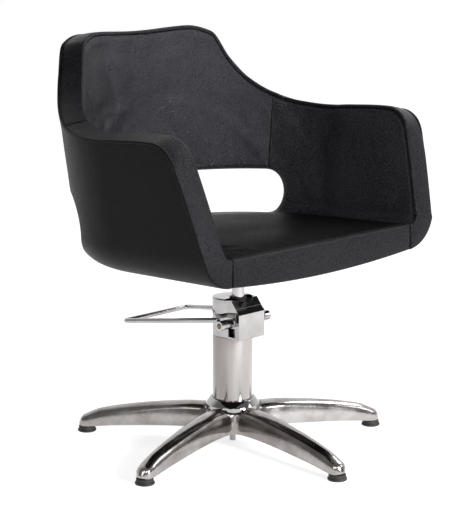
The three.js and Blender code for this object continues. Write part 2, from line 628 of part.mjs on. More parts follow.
// ---------------------------------------------------------------- lever and pedal
function addLever() {
  add('lever_shaft', onShaft(rod(SHAFT_R, -67, 62, 16)), finish.steel);
  for (const [name, side] of [['lever_bush_right', -1], ['lever_bush_left', 1]]) {
    const [a, b] = [side * (BOX_HALF_WIDTH - BOX_WALL), side * (BOX_HALF_WIDTH + 0.5)];
    add(name, onShaft(ring(SHAFT_R + GAP, 7.6, Math.min(a, b), Math.max(a, b), 16)), finish.plastic);
  }
  add('lever_nut', onShaft(ring(SHAFT_R * 1.25, 9, -49, -37, 6)), finish.chrome);
  add('lever_hub_right', onShaft(ring(SHAFT_R + GAP, 9.2, -69, -49.5, 20)), finish.chrome);
  add('lever_hub_left', onShaft(turned([[SHAFT_R + GAP, 46], [9.4, 46], [10, 48], [10, 62],
    [7, 66], [0, 66.5], [0, 62.5], [SHAFT_R + GAP, 62.5], [SHAFT_R + GAP, 46]], 20)), finish.chrome);
  add('clamp_screw', onShaft(turned([[0, -71], [3.6, -71], [4.4, -70], [4.4, -67 - GAP],
    [0, -67 - GAP]], 12)), finish.steel);
  const y = SHAFT_Y + ROCKER_REACH;
  const arm = new THREE.Shape();
  arm.absarc(y, SHAFT_Z, 4, -Math.PI / 2, Math.PI / 2, false);
  arm.absarc(SHAFT_Y, SHAFT_Z, 9, Math.PI * 0.42, Math.PI * 1.78, false);
  arm.closePath();
  const hole = new THREE.Path();
  hole.absarc(SHAFT_Y, SHAFT_Z, SHAFT_R + GAP, 0, 2 * Math.PI, true);
  arm.holes.push(hole);
  const plate = new THREE.ExtrudeGeometry(arm, { depth: 6, bevelEnabled: false, curveSegments: 8 })
    .rotateX(Math.PI / 2).rotateZ(Math.PI / 2).translate(PLUNGER_X - 3, 0, 0);
  add('rocker_arm', plate, finish.steel);
}

function addPedal() {
  const mirror = (p) => new THREE.Vector3(-p.x, p.y, p.z);
  const [start, corner] = [PEDAL_START, PEDAL_CORNER];
  const bend = 9;
  const back = start.clone().sub(corner).normalize().multiplyScalar(bend).add(corner);
  const inward = corner.clone().setX(corner.x - bend);
  const path = new THREE.CurvePath();
  path.add(new THREE.LineCurve3(mirror(start), mirror(back)));
  path.add(new THREE.QuadraticBezierCurve3(mirror(back), mirror(corner), mirror(inward)));
  path.add(new THREE.LineCurve3(mirror(inward), inward));
  path.add(new THREE.QuadraticBezierCurve3(inward, corner, back));
  path.add(new THREE.LineCurve3(back, start));
  add('pedal_loop', bar(path, PEDAL_R, 8, 36), finish.chrome);
}

addStarBase();
addPumpTube();
addPumpHead();
addPlunger();
addPiston();
addLever();
addPedal();
addSeatMount();
addShell();
addRimBands();

export default chair;
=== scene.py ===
"""Salon styling chair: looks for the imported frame. Metres, +Z up, the sitter faces -Y."""
import math

import bmesh
import bpy
import numpy as np
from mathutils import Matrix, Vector
from mathutils.geometry import delaunay_2d_cdt


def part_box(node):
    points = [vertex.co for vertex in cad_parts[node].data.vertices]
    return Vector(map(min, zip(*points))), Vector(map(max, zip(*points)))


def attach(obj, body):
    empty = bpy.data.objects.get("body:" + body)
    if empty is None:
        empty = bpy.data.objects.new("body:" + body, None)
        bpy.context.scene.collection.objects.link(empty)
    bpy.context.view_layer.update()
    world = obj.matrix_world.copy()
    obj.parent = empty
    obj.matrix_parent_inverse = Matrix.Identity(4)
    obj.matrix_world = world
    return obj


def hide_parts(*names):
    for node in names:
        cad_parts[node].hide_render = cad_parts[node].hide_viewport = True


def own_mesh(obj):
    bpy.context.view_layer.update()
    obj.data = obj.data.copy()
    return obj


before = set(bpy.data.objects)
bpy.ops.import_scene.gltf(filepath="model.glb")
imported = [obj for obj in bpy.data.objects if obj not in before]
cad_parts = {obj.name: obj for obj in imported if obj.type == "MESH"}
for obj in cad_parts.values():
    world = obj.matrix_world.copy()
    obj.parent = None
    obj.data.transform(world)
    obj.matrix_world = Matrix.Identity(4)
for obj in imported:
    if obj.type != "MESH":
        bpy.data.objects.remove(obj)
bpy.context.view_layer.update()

MM = 0.001

# ------------------------------------------------------------------ shell dimensions (millimetres)
WALL = 50.6
SEAT_FRONT_Z = 433.6
SEAT_BOTTOM_Z = SEAT_FRONT_Z - WALL
FRONT_Y = -242.1
SIDE_END_Y = -3.8
HALF_WIDTH = 306.4
BACK_DEPTH = 285.7
WIDTH_FLARE = 0.148
DEPTH_FLARE = 0.078
FRONT_LEAN = 0.2606
FRONT_CURVE = 0.000201
ARM_CORNER_RADIUS = 54.8
INNER_FILLET = 20.0
OUTER_FILLET = INNER_FILLET + WALL
BOTTOM_BOW = 11.4
INNER_RAKE = 31.0
OUTER_RAKE = 18.0
RAKE_FADE_Z = 560.0
ARM_ROUNDNESS = 2.05
BACK_ROUNDNESS = 2.3
ARM_ROUNDNESS_Z = 630.0
BACK_TOP_Z = 785.0
RIM_STATIONS = [0, 0.45, 0.85, 1.08, 1.22, 1.36, 1.48, 1.58, 1.68, 1.8, 2.0]
RIM_HEIGHTS = [634, 639.8, 634.3, 629.4, 633.4, 649.7, 677.7, 718.5, 773, 786.4, 782.1]
SLOT_BOTTOM_Z = 405.0
SLOT_TOP_Z = 500.0
SLOT_END = 1.27
BAND_SEAM = 1.3
PANEL_SEAM = 1.36
OUTSIDE_SEAM = 1.62


# ------------------------------------------------------------------ shell surface
def smooth_rim_heights():
    """Slopes of a monotone cubic through the rim stations."""
    x, y = np.array(RIM_STATIONS, float), np.array(RIM_HEIGHTS, float)
    step = np.diff(y) / np.diff(x)
    slopes = np.zeros(len(x))
    slopes[0] = step[0]
    for i in range(1, len(x) - 1):
        a, b = step[i - 1], step[i]
        slopes[i] = 0 if a * b <= 0 else 2 * a * b / (a + b)
    return x, y, slopes


RIM_X, RIM_Y, RIM_SLOPES = smooth_rim_heights()


def cubic(at, x, y, slopes):
    """A smooth curve through sections (x, y) with a slope at each."""
    i = np.clip(np.searchsorted(x, at) - 1, 0, len(x) - 2)
    h = x[i + 1] - x[i]
    t = np.clip((at - x[i]) / h, 0, 1)
    return ((2 * t**3 - 3 * t**2 + 1) * y[i] + (t**3 - 2 * t**2 + t) * h * slopes[i]
            + (3 * t**2 - 2 * t**3) * y[i + 1] + (t**3 - t**2) * h * slopes[i + 1])


def rim_height(station):
    return cubic(np.clip(np.asarray(station, float), 0, 2), RIM_X, RIM_Y, RIM_SLOPES)


def front_line(z):
    rise = np.maximum(0, np.asarray(z, float) - SEAT_FRONT_Z)
    return FRONT_Y + FRONT_LEAN * rise + FRONT_CURVE * rise * rise


def fan(station, z):
    """Outer face and outward normal of the curved back, for stations 1 (side) to 2 (middle)."""
    width = HALF_WIDTH + WIDTH_FLARE * (z - SEAT_FRONT_Z)
    depth = BACK_DEPTH + DEPTH_FLARE * (z - SEAT_FRONT_Z)
    blend = np.clip((z - ARM_ROUNDNESS_Z) / (BACK_TOP_Z - ARM_ROUNDNESS_Z), 0, 1)
    power = ARM_ROUNDNESS + (BACK_ROUNDNESS - ARM_ROUNDNESS) * blend
    angle = np.clip(station - 1, 0, 1) * np.pi / 2
    u = np.clip(np.cos(angle), 0, 1) ** (2 / power)
    v = np.clip(np.sin(angle), 0, 1) ** (2 / power)
    u = np.where(station >= 2, 0, u)
    point = np.stack([width * u, SIDE_END_Y + depth * v, z + 0 * u], -1)
    nx, ny = u ** (power - 1) / width, v ** (power - 1) / depth
    normal = np.stack([nx, ny, -(nx * u * WIDTH_FLARE + ny * v * DEPTH_FLARE)], -1)
    return point, normal / np.linalg.norm(normal, axis=-1, keepdims=True)


def fan_lengths():
    """Distance along the middle of the curved wall at each station."""
    stations = np.linspace(1, 2, 400)
    z = np.full_like(stations, 560.0)
    point, normal = fan(stations, z)
    path = (point - normal * WALL / 2)[:, :2]
    length = np.concatenate([[0], np.cumsum(np.linalg.norm(np.diff(path, axis=0), axis=1))])
    return stations, length


FAN_STATIONS, FAN_LENGTHS = fan_lengths()
FAN = FAN_LENGTHS[-1]


def wall_u(station):
    """Flat coordinate of a station of the curved back: 0 at the middle, FAN where the sides begin."""
    return FAN - np.interp(station, FAN_STATIONS, FAN_LENGTHS)


def outer_wall(u, z):
    """Outer face and normal at flat coordinate u (0 at the middle of the back) and height z."""
    a = np.abs(u)
    station = np.interp(FAN - a, FAN_LENGTHS, FAN_STATIONS)
    point, normal = fan(station, z)
    width = HALF_WIDTH + WIDTH_FLARE * (z - SEAT_FRONT_Z)
    side_point = np.stack([width, SIDE_END_Y + (FAN - a), z], -1)
    side_normal = np.array([1, 0, -WIDTH_FLARE]) / math.hypot(1, WIDTH_FLARE)
    side = (a > FAN)[..., None]
    return np.where(side, side_point, point), np.where(side, side_normal, normal)


def rake(point, depth):
    """Lets the floor fall towards the back."""
    along = np.clip((point[..., 1] - FRONT_Y) / (SIDE_END_Y + BACK_DEPTH - FRONT_Y), 0, 1)
    s = np.clip((point[..., 2] - SEAT_FRONT_Z) / (RAKE_FADE_Z - SEAT_FRONT_Z), 0, 1)
    fade = 1 - s * s * (3 - 2 * s)
    drop = OUTER_RAKE + (INNER_RAKE - OUTER_RAKE) * depth / WALL
    point = point.copy()
    point[..., 2] -= fade * along * drop
    return point


def foot_of(u):
    """Normal, foot height and lean of the wall where it meets the bottom fillet."""
    fillet_z = SEAT_BOTTOM_Z + OUTER_FILLET
    _, normal = outer_wall(u, np.full_like(u, fillet_z))
    return normal, fillet_z + OUTER_FILLET * normal[..., 2], np.arcsin(-normal[..., 2])


def shell(u, v, depth, fillet_depth=0.0, bow=False):
    """A point of the shell wall in millimetres. u runs round the plan, v is the height on the wall
    and then the distance on round the bottom fillet and under the floor; depth is below the outer
    face. The distance round the fillet is measured at fillet_depth."""
    u, v, depth = np.broadcast_arrays(*[np.asarray(a, float) for a in (u, v, depth)])
    normal_f, foot_z, lean = foot_of(u)
    wall_point, wall_normal = outer_wall(u, np.maximum(v, foot_z))
    wall_point = wall_point - wall_normal * depth[..., None]
    run = np.maximum(foot_z - v, 0)
    radius = OUTER_FILLET - fillet_depth
    quarter = radius * (np.pi / 2 - lean)
    angle = lean + np.minimum(run, quarter) / radius
    tangent, _ = outer_wall(u, foot_z)
    centre = tangent - normal_f * OUTER_FILLET
    flat = normal_f * [1, 1, 0]
    flat = flat / np.linalg.norm(flat, axis=-1, keepdims=True)
    way = flat * np.cos(angle)[..., None] - np.array([0, 0, 1]) * np.sin(angle)[..., None]
    low = centre + way * (OUTER_FILLET - depth)[..., None]
    low = low - flat * np.maximum(run - quarter, 0)[..., None]
    if bow:
        half = HALF_WIDTH - OUTER_FILLET
        sag = np.clip(1 - (low[..., 0] / half) ** 2, 0, 1) * (run > quarter)
        low[..., 2] -= BOTTOM_BOW * sag * np.clip(1 - depth / WALL, 0, 1)
    point = np.where((v >= foot_z)[..., None], wall_point, low)
    point[..., 0] = point[..., 0] * np.where(u < 0, -1, 1)
    return rake(point, depth)


def rim_line():
    """The rim of the +X half in flat coordinates, from the middle of the back round to the middle of
    the seat's front edge, about 3 mm a step."""
    corner_z = RIM_HEIGHTS[0]
    rise = corner_z - SEAT_FRONT_Z
    lean = FRONT_LEAN + 2 * FRONT_CURVE * rise
    reach = ARM_CORNER_RADIUS * math.tan(math.atan2(1, lean) / 2)
    corner_y = float(front_line(corner_z))
    start_z = corner_z - reach / math.hypot(1, lean)
    end_y = corner_y + reach
    height_at = lambda y: rim_height((y - FRONT_Y) / (SIDE_END_Y - FRONT_Y))
    stations = np.linspace(2, 1, 160)
    top = [(wall_u(s), rim_height(s)) for s in stations]
    top += [(FAN + SIDE_END_Y - y, height_at(y)) for y in np.linspace(SIDE_END_Y, end_y, 50)[1:-1]]
    start = np.array([float(front_line(start_z)), start_z])
    middle = np.array([corner_y, corner_z])
    end = np.array([end_y, float(height_at(end_y))])
    for s in np.linspace(1, 0, 24):
        y, z = (1 - s) ** 2 * start + 2 * s * (1 - s) * middle + s * s * end
        top.append((FAN + SIDE_END_Y - y, z))
    foot = float(foot_of(np.array([FAN + 100.0]))[1][0])
    quarter = OUTER_FILLET * (math.pi / 2 - math.atan(WIDTH_FLARE))
    for z in np.linspace(start_z, foot, 60)[1:]:
        top.append((FAN + SIDE_END_Y - float(front_line(z)), z))
    front_u = FAN + SIDE_END_Y - FRONT_Y
    for t in np.linspace(0, quarter, 36)[1:]:
        top.append((front_u, foot - t))
    edge_x = float(shell(front_u, foot - quarter, 0.0)[0])
    for t in np.linspace(0, edge_x, 70)[1:]:
        top.append((front_u, foot - quarter - t))
    return np.array(top, float)


RIM = rim_line()
FOOT = float(foot_of(np.array([FAN + 100.0]))[1][0])
QUARTER = OUTER_FILLET * (math.pi / 2 - math.atan(WIDTH_FLARE))
FRONT_U = FAN + SIDE_END_Y - FRONT_Y


# ------------------------------------------------------------------ mesh helpers
def make_object(name, verts, faces, smooth=True):
    mesh = bpy.data.meshes.new(name)
    mesh.from_pydata([tuple(np.asarray(v, float) * MM) for v in verts], [], faces)
    mesh.validate()
    mesh.update()
    if smooth:
        mesh.shade_smooth()
    obj = bpy.data.objects.new(name, mesh)
    bpy.context.scene.collection.objects.link(obj)
    return obj


def run_length(path):
    """Distance along an open path at each of its points."""
    return np.concatenate([[0], np.cumsum(np.linalg.norm(np.diff(path, axis=0), axis=1))])


def turned_inward(loop):
    """A closed outline the right way round, with the inward direction at each point."""
    area = 0.5 * np.sum(loop[:, 0] * np.roll(loop[:, 1], -1) - np.roll(loop[:, 0], -1) * loop[:, 1])
    if area < 0:
        loop = loop[::-1]
    along = np.roll(loop, -1, 0) - np.roll(loop, 1, 0)
    inward = np.stack([-along[:, 1], along[:, 0]], -1)
    return loop, inward / np.linalg.norm(inward, axis=1, keepdims=True)


def outline_step(points, step):
    """A closed outline with a point about every step."""
    points = np.asarray(points, float)
    closed = np.vstack([points, points[:1]])
    length = run_length(closed)
    count = max(8, int(length[-1] / step))
    # corners stay: a point where the outline turns sharply is kept as it is
    ahead = np.roll(points, -1, 0) - points
    behind = points - np.roll(points, 1, 0)
    turn = np.abs(np.arctan2(ahead[:, 0] * behind[:, 1] - ahead[:, 1] * behind[:, 0],
                             (ahead * behind).sum(1)))
    fixed = [length[i] for i in range(len(points)) if turn[i] > 0.5]
    places = np.linspace(0, length[-1], count, endpoint=False)
    if fixed:
        gap = np.min(np.abs(places[:, None] - np.array(fixed + [length[-1] + fixed[0]])[None]), axis=1)
        places = np.sort(np.concatenate([places[gap > step * 0.45], fixed]))
    return np.stack([np.interp(places, length, closed[:, k]) for k in (0, 1)], -1)


def distance_to(points, loop):
    a = loop
    ab = np.roll(loop, -1, 0) - a
    size = (ab**2).sum(1) + 1e-12
    best = np.full(len(points), 1e9)
    for i in range(0, len(points), 2000):
        p = points[i:i + 2000]
        t = np.clip(((p[:, None] - a[None]) * ab[None]).sum(2) / size, 0, 1)
        near = a[None] + t[..., None] * ab[None]
        best[i:i + 2000] = np.linalg.norm(p[:, None] - near, axis=2).min(1)
    return best


def inside(points, loop):
    x, y = points[:, 0:1], points[:, 1:2]
    x0, y0 = loop[:, 0], loop[:, 1]
    x1, y1 = np.roll(x0, -1), np.roll(y0, -1)
    crosses = ((y0 > y) != (y1 > y)) & (x < (x1 - x0) * (y - y0) / (y1 - y0 + 1e-12) + x0)
    return crosses.sum(1) % 2 == 1


EDGE_ROWS = (0.7, 1.6, 2.8, 4.4, 6.2, 8.5, 11.5, 15.5)


def fill_outline(loop, edge_step=4.0, grid=8.5, extra=None):
    """Points and triangles inside a closed outline, with rows that follow its edge closely."""
    loop, inward = turned_inward(outline_step(loop, edge_step))
    points = [loop]
    for row in EDGE_ROWS:
        ring = loop + inward * row
        keep = inside(ring, loop)
        keep &= distance_to(ring, loop) > row * 0.93
        points.append(ring[keep])
    low, high = loop.min(0), loop.max(0)
    xs = np.arange(low[0], high[0] + grid, grid)
    ys = np.arange(low[1], high[1] + grid, grid * 0.87)
    lattice = np.array([(x + (j % 2) * grid / 2, y) for j, y in enumerate(ys) for x in xs])
    lattice = lattice[inside(lattice, loop)]
    lattice = lattice[distance_to(lattice, loop) > EDGE_ROWS[-1] + grid * 0.55]
    if extra is not None:
        for i in range(0, len(lattice), 2000):
            block = lattice[i:i + 2000]
            gap = np.linalg.norm(block[:, None] - extra[None], axis=2).min(1)
            block[gap < grid * 0.4] = extra[0]
        lattice = lattice[np.linalg.norm(lattice - extra[0], axis=1) > 1e-6]
        points.append(extra)
    points.append(lattice)
    points = np.vstack(points)
    n = len(loop)
    edges = [(i, (i + 1) % n) for i in range(n)]
    verts, _, faces, _, _, _ = delaunay_2d_cdt([Vector(p * MM) for p in points], edges, [], 1, 1e-7)
    flat = np.array([tuple(v) for v in verts]) / MM
    return flat, [tuple(f) for f in faces], distance_to(flat, loop)


def roll_off(distance, drop=1.4, radius=2.6, stitch=4.0, valley=0.4, crown=1.6, swell=45.0):
    """How far a panel lies below its nominal surface: it dives into the seam, dips under the row of
    stitches and swells towards its middle."""
    dive = drop * np.clip(1 - distance / radius, 0, 1) ** 2.2
    dip = valley * np.exp(-((distance - stitch) / 1.5) ** 2)
    return dive + dip - crown * (1 - np.exp(-distance / swell))


def boundary_edges(faces):
    count = {}
    for face in faces:
        for a, b in zip(face, face[1:] + face[:1]):
            count[(a, b)] = count.get((a, b), 0) + 1
    return [(a, b) for (a, b) in count if (b, a) not in count]


def close_sheet(name, top, bottom, faces):
    """A closed body between a sheet and its copy at some depth."""
    n = len(top)
    all_faces = list(faces) + [tuple(n + i for i in reversed(face)) for face in faces]
    all_faces += [(b, a, n + a, n + b) for a, b in boundary_edges(faces)]
    obj = make_object(name, np.vstack([top, bottom]), all_faces)
    face_out(obj)
    return obj


def face_out(obj):
    bm = bmesh.new()
    bm.from_mesh(obj.data)
    bmesh.ops.recalc_face_normals(bm, faces=bm.faces)
    bm.to_mesh(obj.data)
    bm.free()


# ------------------------------------------------------------------ materials
class Tree:
    """Short way to write a node material."""

    def __init__(self, name, **principled):
        self.material = bpy.data.materials.new(name)
        self.material.use_nodes = True
        self.nodes = self.material.node_tree.nodes
        self.links = self.material.node_tree.links
        self.shader = self.nodes["Principled BSDF"]
        self.place = self.nodes.new("ShaderNodeTexCoord").outputs["Object"]
        for key, value in principled.items():
            self.shader.inputs[key.replace("_", " ")].default_value = value

    def noise(self, scale, detail=2.0, roughness=0.5, stretch=(1, 1, 1)):
        node = self.nodes.new("ShaderNodeTexNoise")
        node.inputs["Scale"].default_value = scale
        node.inputs["Detail"].default_value = detail
        node.inputs["Roughness"].default_value = roughness
        if stretch != (1, 1, 1):
            scaler = self.nodes.new("ShaderNodeMapping")
            scaler.inputs["Scale"].default_value = stretch
            self.links.new(self.place, scaler.inputs["Vector"])
            self.links.new(scaler.outputs["Vector"], node.inputs["Vector"])
        else:
            self.links.new(self.place, node.inputs["Vector"])
        return node.outputs["Fac"]

    def cells(self, scale, randomness=1.0):
        node = self.nodes.new("ShaderNodeTexVoronoi")
        node.inputs["Scale"].default_value = scale
        node.inputs["Randomness"].default_value = randomness
        self.links.new(self.place, node.inputs["Vector"])
        return node.outputs["Distance"]

    def spread(self, source, low, high, start=0.35, end=0.65):
        node = self.nodes.new("ShaderNodeMapRange")
        self.links.new(source, node.inputs["Value"])
        for key, value in (("From Min", start), ("From Max", end), ("To Min", low), ("To Max", high)):
            node.inputs[key].default_value = value
        return node.outputs["Result"]

    def math(self, kind, a, b):
        node = self.nodes.new("ShaderNodeMath")
        node.operation = kind
        for value, socket in zip((a, b), node.inputs):
            if isinstance(value, (int, float)):
                socket.default_value = value
            else:
                self.links.new(value, socket)
        return node.outputs["Value"]

    def tint(self, factor, dark, light):
        node = self.nodes.new("ShaderNodeMix")
        node.data_type = "RGBA"
        self.links.new(factor, node.inputs["Factor"])
        node.inputs["A"].default_value = (*dark, 1)
        node.inputs["B"].default_value = (*light, 1)
        return node.outputs["Result"]

    def bump(self, height, distance, strength=1.0):
        node = self.nodes.new("ShaderNodeBump")
        node.inputs["Distance"].default_value = distance
        node.inputs["Strength"].default_value = strength
        self.links.new(height, node.inputs["Height"])
        existing = self.shader.inputs["Normal"].links
        if existing:
            self.links.new(existing[0].from_socket, node.inputs["Normal"])
        self.links.new(node.outputs["Normal"], self.shader.inputs["Normal"])

    def feed(self, name, source):
        self.links.new(source, self.shader.inputs[name])


def faux_leather(name, dark, light, rough, grain, sheen=0.22, tint=(1, 1, 1, 1)):
    """Fine pebbled vinyl with faint scuffs; the bright specks in its base colour are painted glints of the
    grain.
    """
    t = Tree(name, Specular_IOR_Level=sheen, Specular_Tint=tint)
    pebble = t.cells(520, 0.95)
    grain_and_glint = t.noise(560, 3.0, 0.6)
    wear = t.noise(5.5, 3.0, 0.55)
    # base colour: near black with bright specks that are painted glints, mixed with faint scuffs
    t.feed("Base Color", t.tint(t.spread(t.math("ADD", t.math("MULTIPLY", grain_and_glint, 0.88),
           t.math("MULTIPLY", wear, 0.12)), 0, 1, 0.47, 0.63), dark, light))
    t.feed("Roughness", t.math("ADD", t.spread(wear, rough - 0.04, rough + 0.05),
                               t.spread(grain_and_glint, -0.11, 0.11, 0.38, 0.62)))
    t.bump(t.math("ADD", pebble, t.math("MULTIPLY", grain_and_glint, 0.9)), grain)
    t.bump(t.noise(11, 2.0, 0.45), 0.002, 0.25)
    return t.material


def metal(name, dark, light, rough, smear=0.03, dents=0.00012, stretch=(1, 1, 1), edge=0.0007):
    """Plated or polished metal with eased edges, faint smears and a not quite even surface."""
    t = Tree(name, Metallic=1.0)
    eased = t.nodes.new("ShaderNodeBevel")
    eased.samples = 4
    eased.inputs["Radius"].default_value = edge
    t.feed("Normal", eased.outputs["Normal"])
    broad, fine = t.noise(13, 3.0, 0.6, stretch), t.noise(150, 3.0, 0.6, stretch)
    t.feed("Base Color", t.tint(t.spread(broad, 0, 1, 0.38, 0.66), dark, light))
    t.feed("Roughness", t.math("ADD", t.spread(broad, rough, rough + smear),
                               t.spread(fine, 0, smear * 0.7)))
    t.bump(t.noise(17, 2.0, 0.5), dents * 8, 0.25)
    t.bump(fine, dents, 0.5)
    return t.material


def plain(name, dark, light, rough, grain=0.0004, scale=160):
    t = Tree(name)
    spots = t.noise(scale, 4.0, 0.6)
    t.feed("Base Color", t.tint(t.spread(spots, 0, 1), dark, light))
    t.feed("Roughness", t.spread(spots, rough - 0.06, rough + 0.06))
    t.bump(spots, grain, 0.6)
    return t.material


# One black vinyl drawn as copies lit differently: the inside copy is lighter (painted light), the outside
# copy darker (painted shade) and the band's lighter than the outside (painted light). The bluish specular
# tints are a painted colour of the light in their reflections.
VINYL_LIT_INSIDE = faux_leather("inside_vinyl_lit_copy", (0.0004, 0.0004, 0.0008), (0.028, 0.028, 0.032), 0.33, 0.00085, 0.25,
                      (0.90, 0.89, 1.0, 1))
# the seat's copy is darker and brownish: a painted reflection of the dark brown room over the seat top
VINYL_SEAT_PAINTED_REFLECTION = faux_leather("seat_vinyl_painted_reflection", (0.0016, 0.0014, 0.0013), (0.0060, 0.0052, 0.0048), 0.46, 0.0004, 0.03,
                    (0.95, 0.92, 1.0, 1))
VINYL_SHADED_OUTSIDE = faux_leather("outside_vinyl_shaded_copy", (0.0008, 0.0007, 0.0008), (0.010, 0.009, 0.010), 0.42, 0.0004, 0.06,
                       (1.0, 0.94, 1.0, 1))
VINYL_LIT_BAND = faux_leather("band_vinyl_lit_copy", (0.0006, 0.0006, 0.0009), (0.013, 0.013, 0.015), 0.31, 0.0006, 0.11,
                    (0.90, 0.90, 1.0, 1))
THREAD = plain("black_thread", (0.006, 0.006, 0.006), (0.020, 0.020, 0.020), 0.55, 0.0002, 900)
CHROME = metal("chrome_plate", (0.36, 0.347, 0.345), (0.47, 0.46, 0.46), 0.035, dents=0.00003)
TUBE = metal("column_chrome", (0.28, 0.255, 0.245), (0.43, 0.413, 0.408), 0.10, 0.07, stretch=(1, 1, 0.12))
CAST = metal("polished_casting", (0.27, 0.245, 0.230), (0.43, 0.418, 0.414), 0.10, 0.08, 0.00015)
STEEL = metal("plain_steel", (0.30, 0.30, 0.305), (0.50, 0.50, 0.51), 0.30, 0.12)
BRASS = metal("screw_plate", (0.12, 0.075, 0.035), (0.22, 0.15, 0.08), 0.30, 0.08)
# black enamel for the mounting parts; on the chrome seat socket it is painted shade
BLACK_PAINT_AND_SHADE = plain("black_enamel_and_painted_shade", (0.008, 0.008, 0.008), (0.014, 0.014, 0.014), 0.45, 0.0003, 200)
RUBBER = plain("black_rubber", (0.004, 0.004, 0.004), (0.009, 0.009, 0.009), 0.62, 0.0004, 240)
NYLON = plain("pale_nylon", (0.60, 0.58, 0.52), (0.72, 0.70, 0.64), 0.45, 0.0002, 90)
PLY = plain("moulded_ply", (0.34, 0.22, 0.12), (0.52, 0.36, 0.21), 0.65, 0.0005, 60)


def dress(obj, material, body, slot, *nodes):
    obj.data.materials.clear()
    obj.data.materials.append(material)
    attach(obj, body)
    if nodes:
        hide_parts(*nodes)
    return obj


# ------------------------------------------------------------------ upholstery panels
SHEET = 6.0                            # a panel's thickness
RIM_INSET = 2.0                        # an outer panel stops this far from the rim
WRAP = 7.0                             # the band comes this far round onto the inner face
WRAP_RADIUS = 5.5
INNER_INSET = WRAP + 0.3
CREASE_RUN = 26.0                      # how far round the inner fillet the arms reach
SLOT_ROLL = 7.0                        # the slot's lining starts this far outside the hole


def rim_path(first, last, inset):
    """The part of the rim between two places of the +X half, moved inwards in the flat plan."""
    along = np.gradient(RIM, axis=0)
    along /= np.linalg.norm(along, axis=1, keepdims=True) + 1e-9
    moved = RIM + np.stack([along[:, 1], -along[:, 0]], -1) * inset
    return moved[first:last]


LOWER_CORNER = int(np.argmax(RIM[:, 1] < FOOT - QUARTER + 1))


def height_on_wall(u, z, depth, fillet_depth=0.0):
    """Flat coordinate v at which the wall reaches height z."""
    u, z = np.atleast_1d(u).astype(float), np.atleast_1d(z).astype(float)
    v = np.linspace(FOOT - 80, 700, 500)
    out = []
    for a, b in zip(u, z):
        heights = shell(np.full_like(v, a), v, depth, fillet_depth)[:, 2]
        out.append(np.interp(b, np.maximum.accumulate(heights), v))
    return np.array(out)


def slot_edge(grow, count=14):
    """(station, z) along the slot's +X end: from the top middle round the end to the bottom middle."""
    middle = (SLOT_TOP_Z + SLOT_BOTTOM_Z) / 2
    half = (SLOT_TOP_Z - SLOT_BOTTOM_Z) / 2 + grow
    end = wall_u(SLOT_END) + grow
    straight = wall_u(SLOT_END + 0.1)
    arc = [(straight + (end - straight) * math.sin(a), middle + half * math.cos(a))
           for a in np.linspace(0, math.pi, count * 2 + 1)]
    return [(0.0, middle + half)] + arc + [(0.0, middle - half)]


def on_wall(points, depth, fillet_depth=0.0):
    points = np.array(points)
    return np.stack([points[:, 0], height_on_wall(points[:, 0], points[:, 1], depth, fillet_depth)], -1)


def outer_face(u, v, off):
    return shell(u, v, off)


def inner_face(u, v, off):
    return shell(u, v, WALL - off, WALL)


def panel(name, loop, face, **roll):
    flat, faces, distance = fill_outline(loop)
    off = roll_off(distance, **roll)
    top = face(flat[:, 0], flat[:, 1], off)
    bottom = face(flat[:, 0], flat[:, 1], np.full(len(flat), SHEET))
    return pin(close_sheet(name, top, bottom, faces), distance)


def pin(obj, distance):
    """Marks what the cloth simulation holds still: the seams, the stitches and the whole back."""
    group = obj.vertex_groups.new(name="pin")
    count = len(distance)
    for i, d in enumerate(distance):
        group.add([i], float(np.clip(1 - (d - 8.5) / 9.0, 0, 1)), "REPLACE")
    group.add(list(range(count, 2 * count)), 1.0, "REPLACE")
    return obj


CLOTH_FRAMES = 14
CUSHION_PRESSURE = 1.2
ARM_PUFF, CUSHION_PUFF = 3.0, 4.0        # the most that the stuffing moves a cover


def puff(obj, pressure, cap):
    """Lets the stuffing press against the cover, then keeps the result in the mesh."""
    count = len(obj.data.vertices)
    before = np.empty(count * 3)
    obj.data.vertices.foreach_get("co", before)
    cloth = obj.modifiers.new("cloth", "CLOTH")
    settings = cloth.settings
    settings.quality = 4
    settings.mass = 0.2
    settings.tension_stiffness = settings.compression_stiffness = 18
    settings.shear_stiffness = 6
    settings.bending_stiffness = 0.6
    settings.tension_damping = settings.compression_damping = 12
    settings.air_damping = 4
    settings.shrink_min = -0.008
    settings.vertex_group_mass = "pin"
    settings.use_pressure = True
    settings.uniform_pressure_force = pressure
    settings.effector_weights.gravity = 0
    cloth.collision_settings.use_collision = False
    cloth.collision_settings.use_self_collision = False
    cloth.point_cache.frame_start, cloth.point_cache.frame_end = 1, CLOTH_FRAMES
    scene = bpy.context.scene
    for frame_number in range(1, CLOTH_FRAMES + 1):
        scene.frame_set(frame_number)
    evaluated = obj.evaluated_get(bpy.context.evaluated_depsgraph_get())
    after = np.empty(count * 3)
    evaluated.data.vertices.foreach_get("co", after)
    obj.modifiers.remove(cloth)
    scene.frame_set(1)
    move = (after - before).reshape(-1, 3)
    size = np.linalg.norm(move, axis=1, keepdims=True)
    move *= np.minimum(1, cap * MM * np.tanh(size / (cap * MM)) / (size + 1e-12))
    obj.data.vertices.foreach_set("co", (before.reshape(-1, 3) + move).ravel())
    obj.data.update()
    print("puff", obj.name, round(float(size.max()) / MM, 2), round(float(size.mean()) / MM, 2))
    obj.vertex_groups.clear()
    return obj


def mirrored(obj, name):
    copy = obj.copy()
    copy.data = obj.data.copy()
    copy.name = copy.data.name = name
    bpy.context.scene.collection.objects.link(copy)
    for vertex in copy.data.vertices:
        vertex.co.x *= -1
    copy.data.flip_normals()
    return copy


def crease_line(u):
    return foot_of(u)[1] - CREASE_RUN


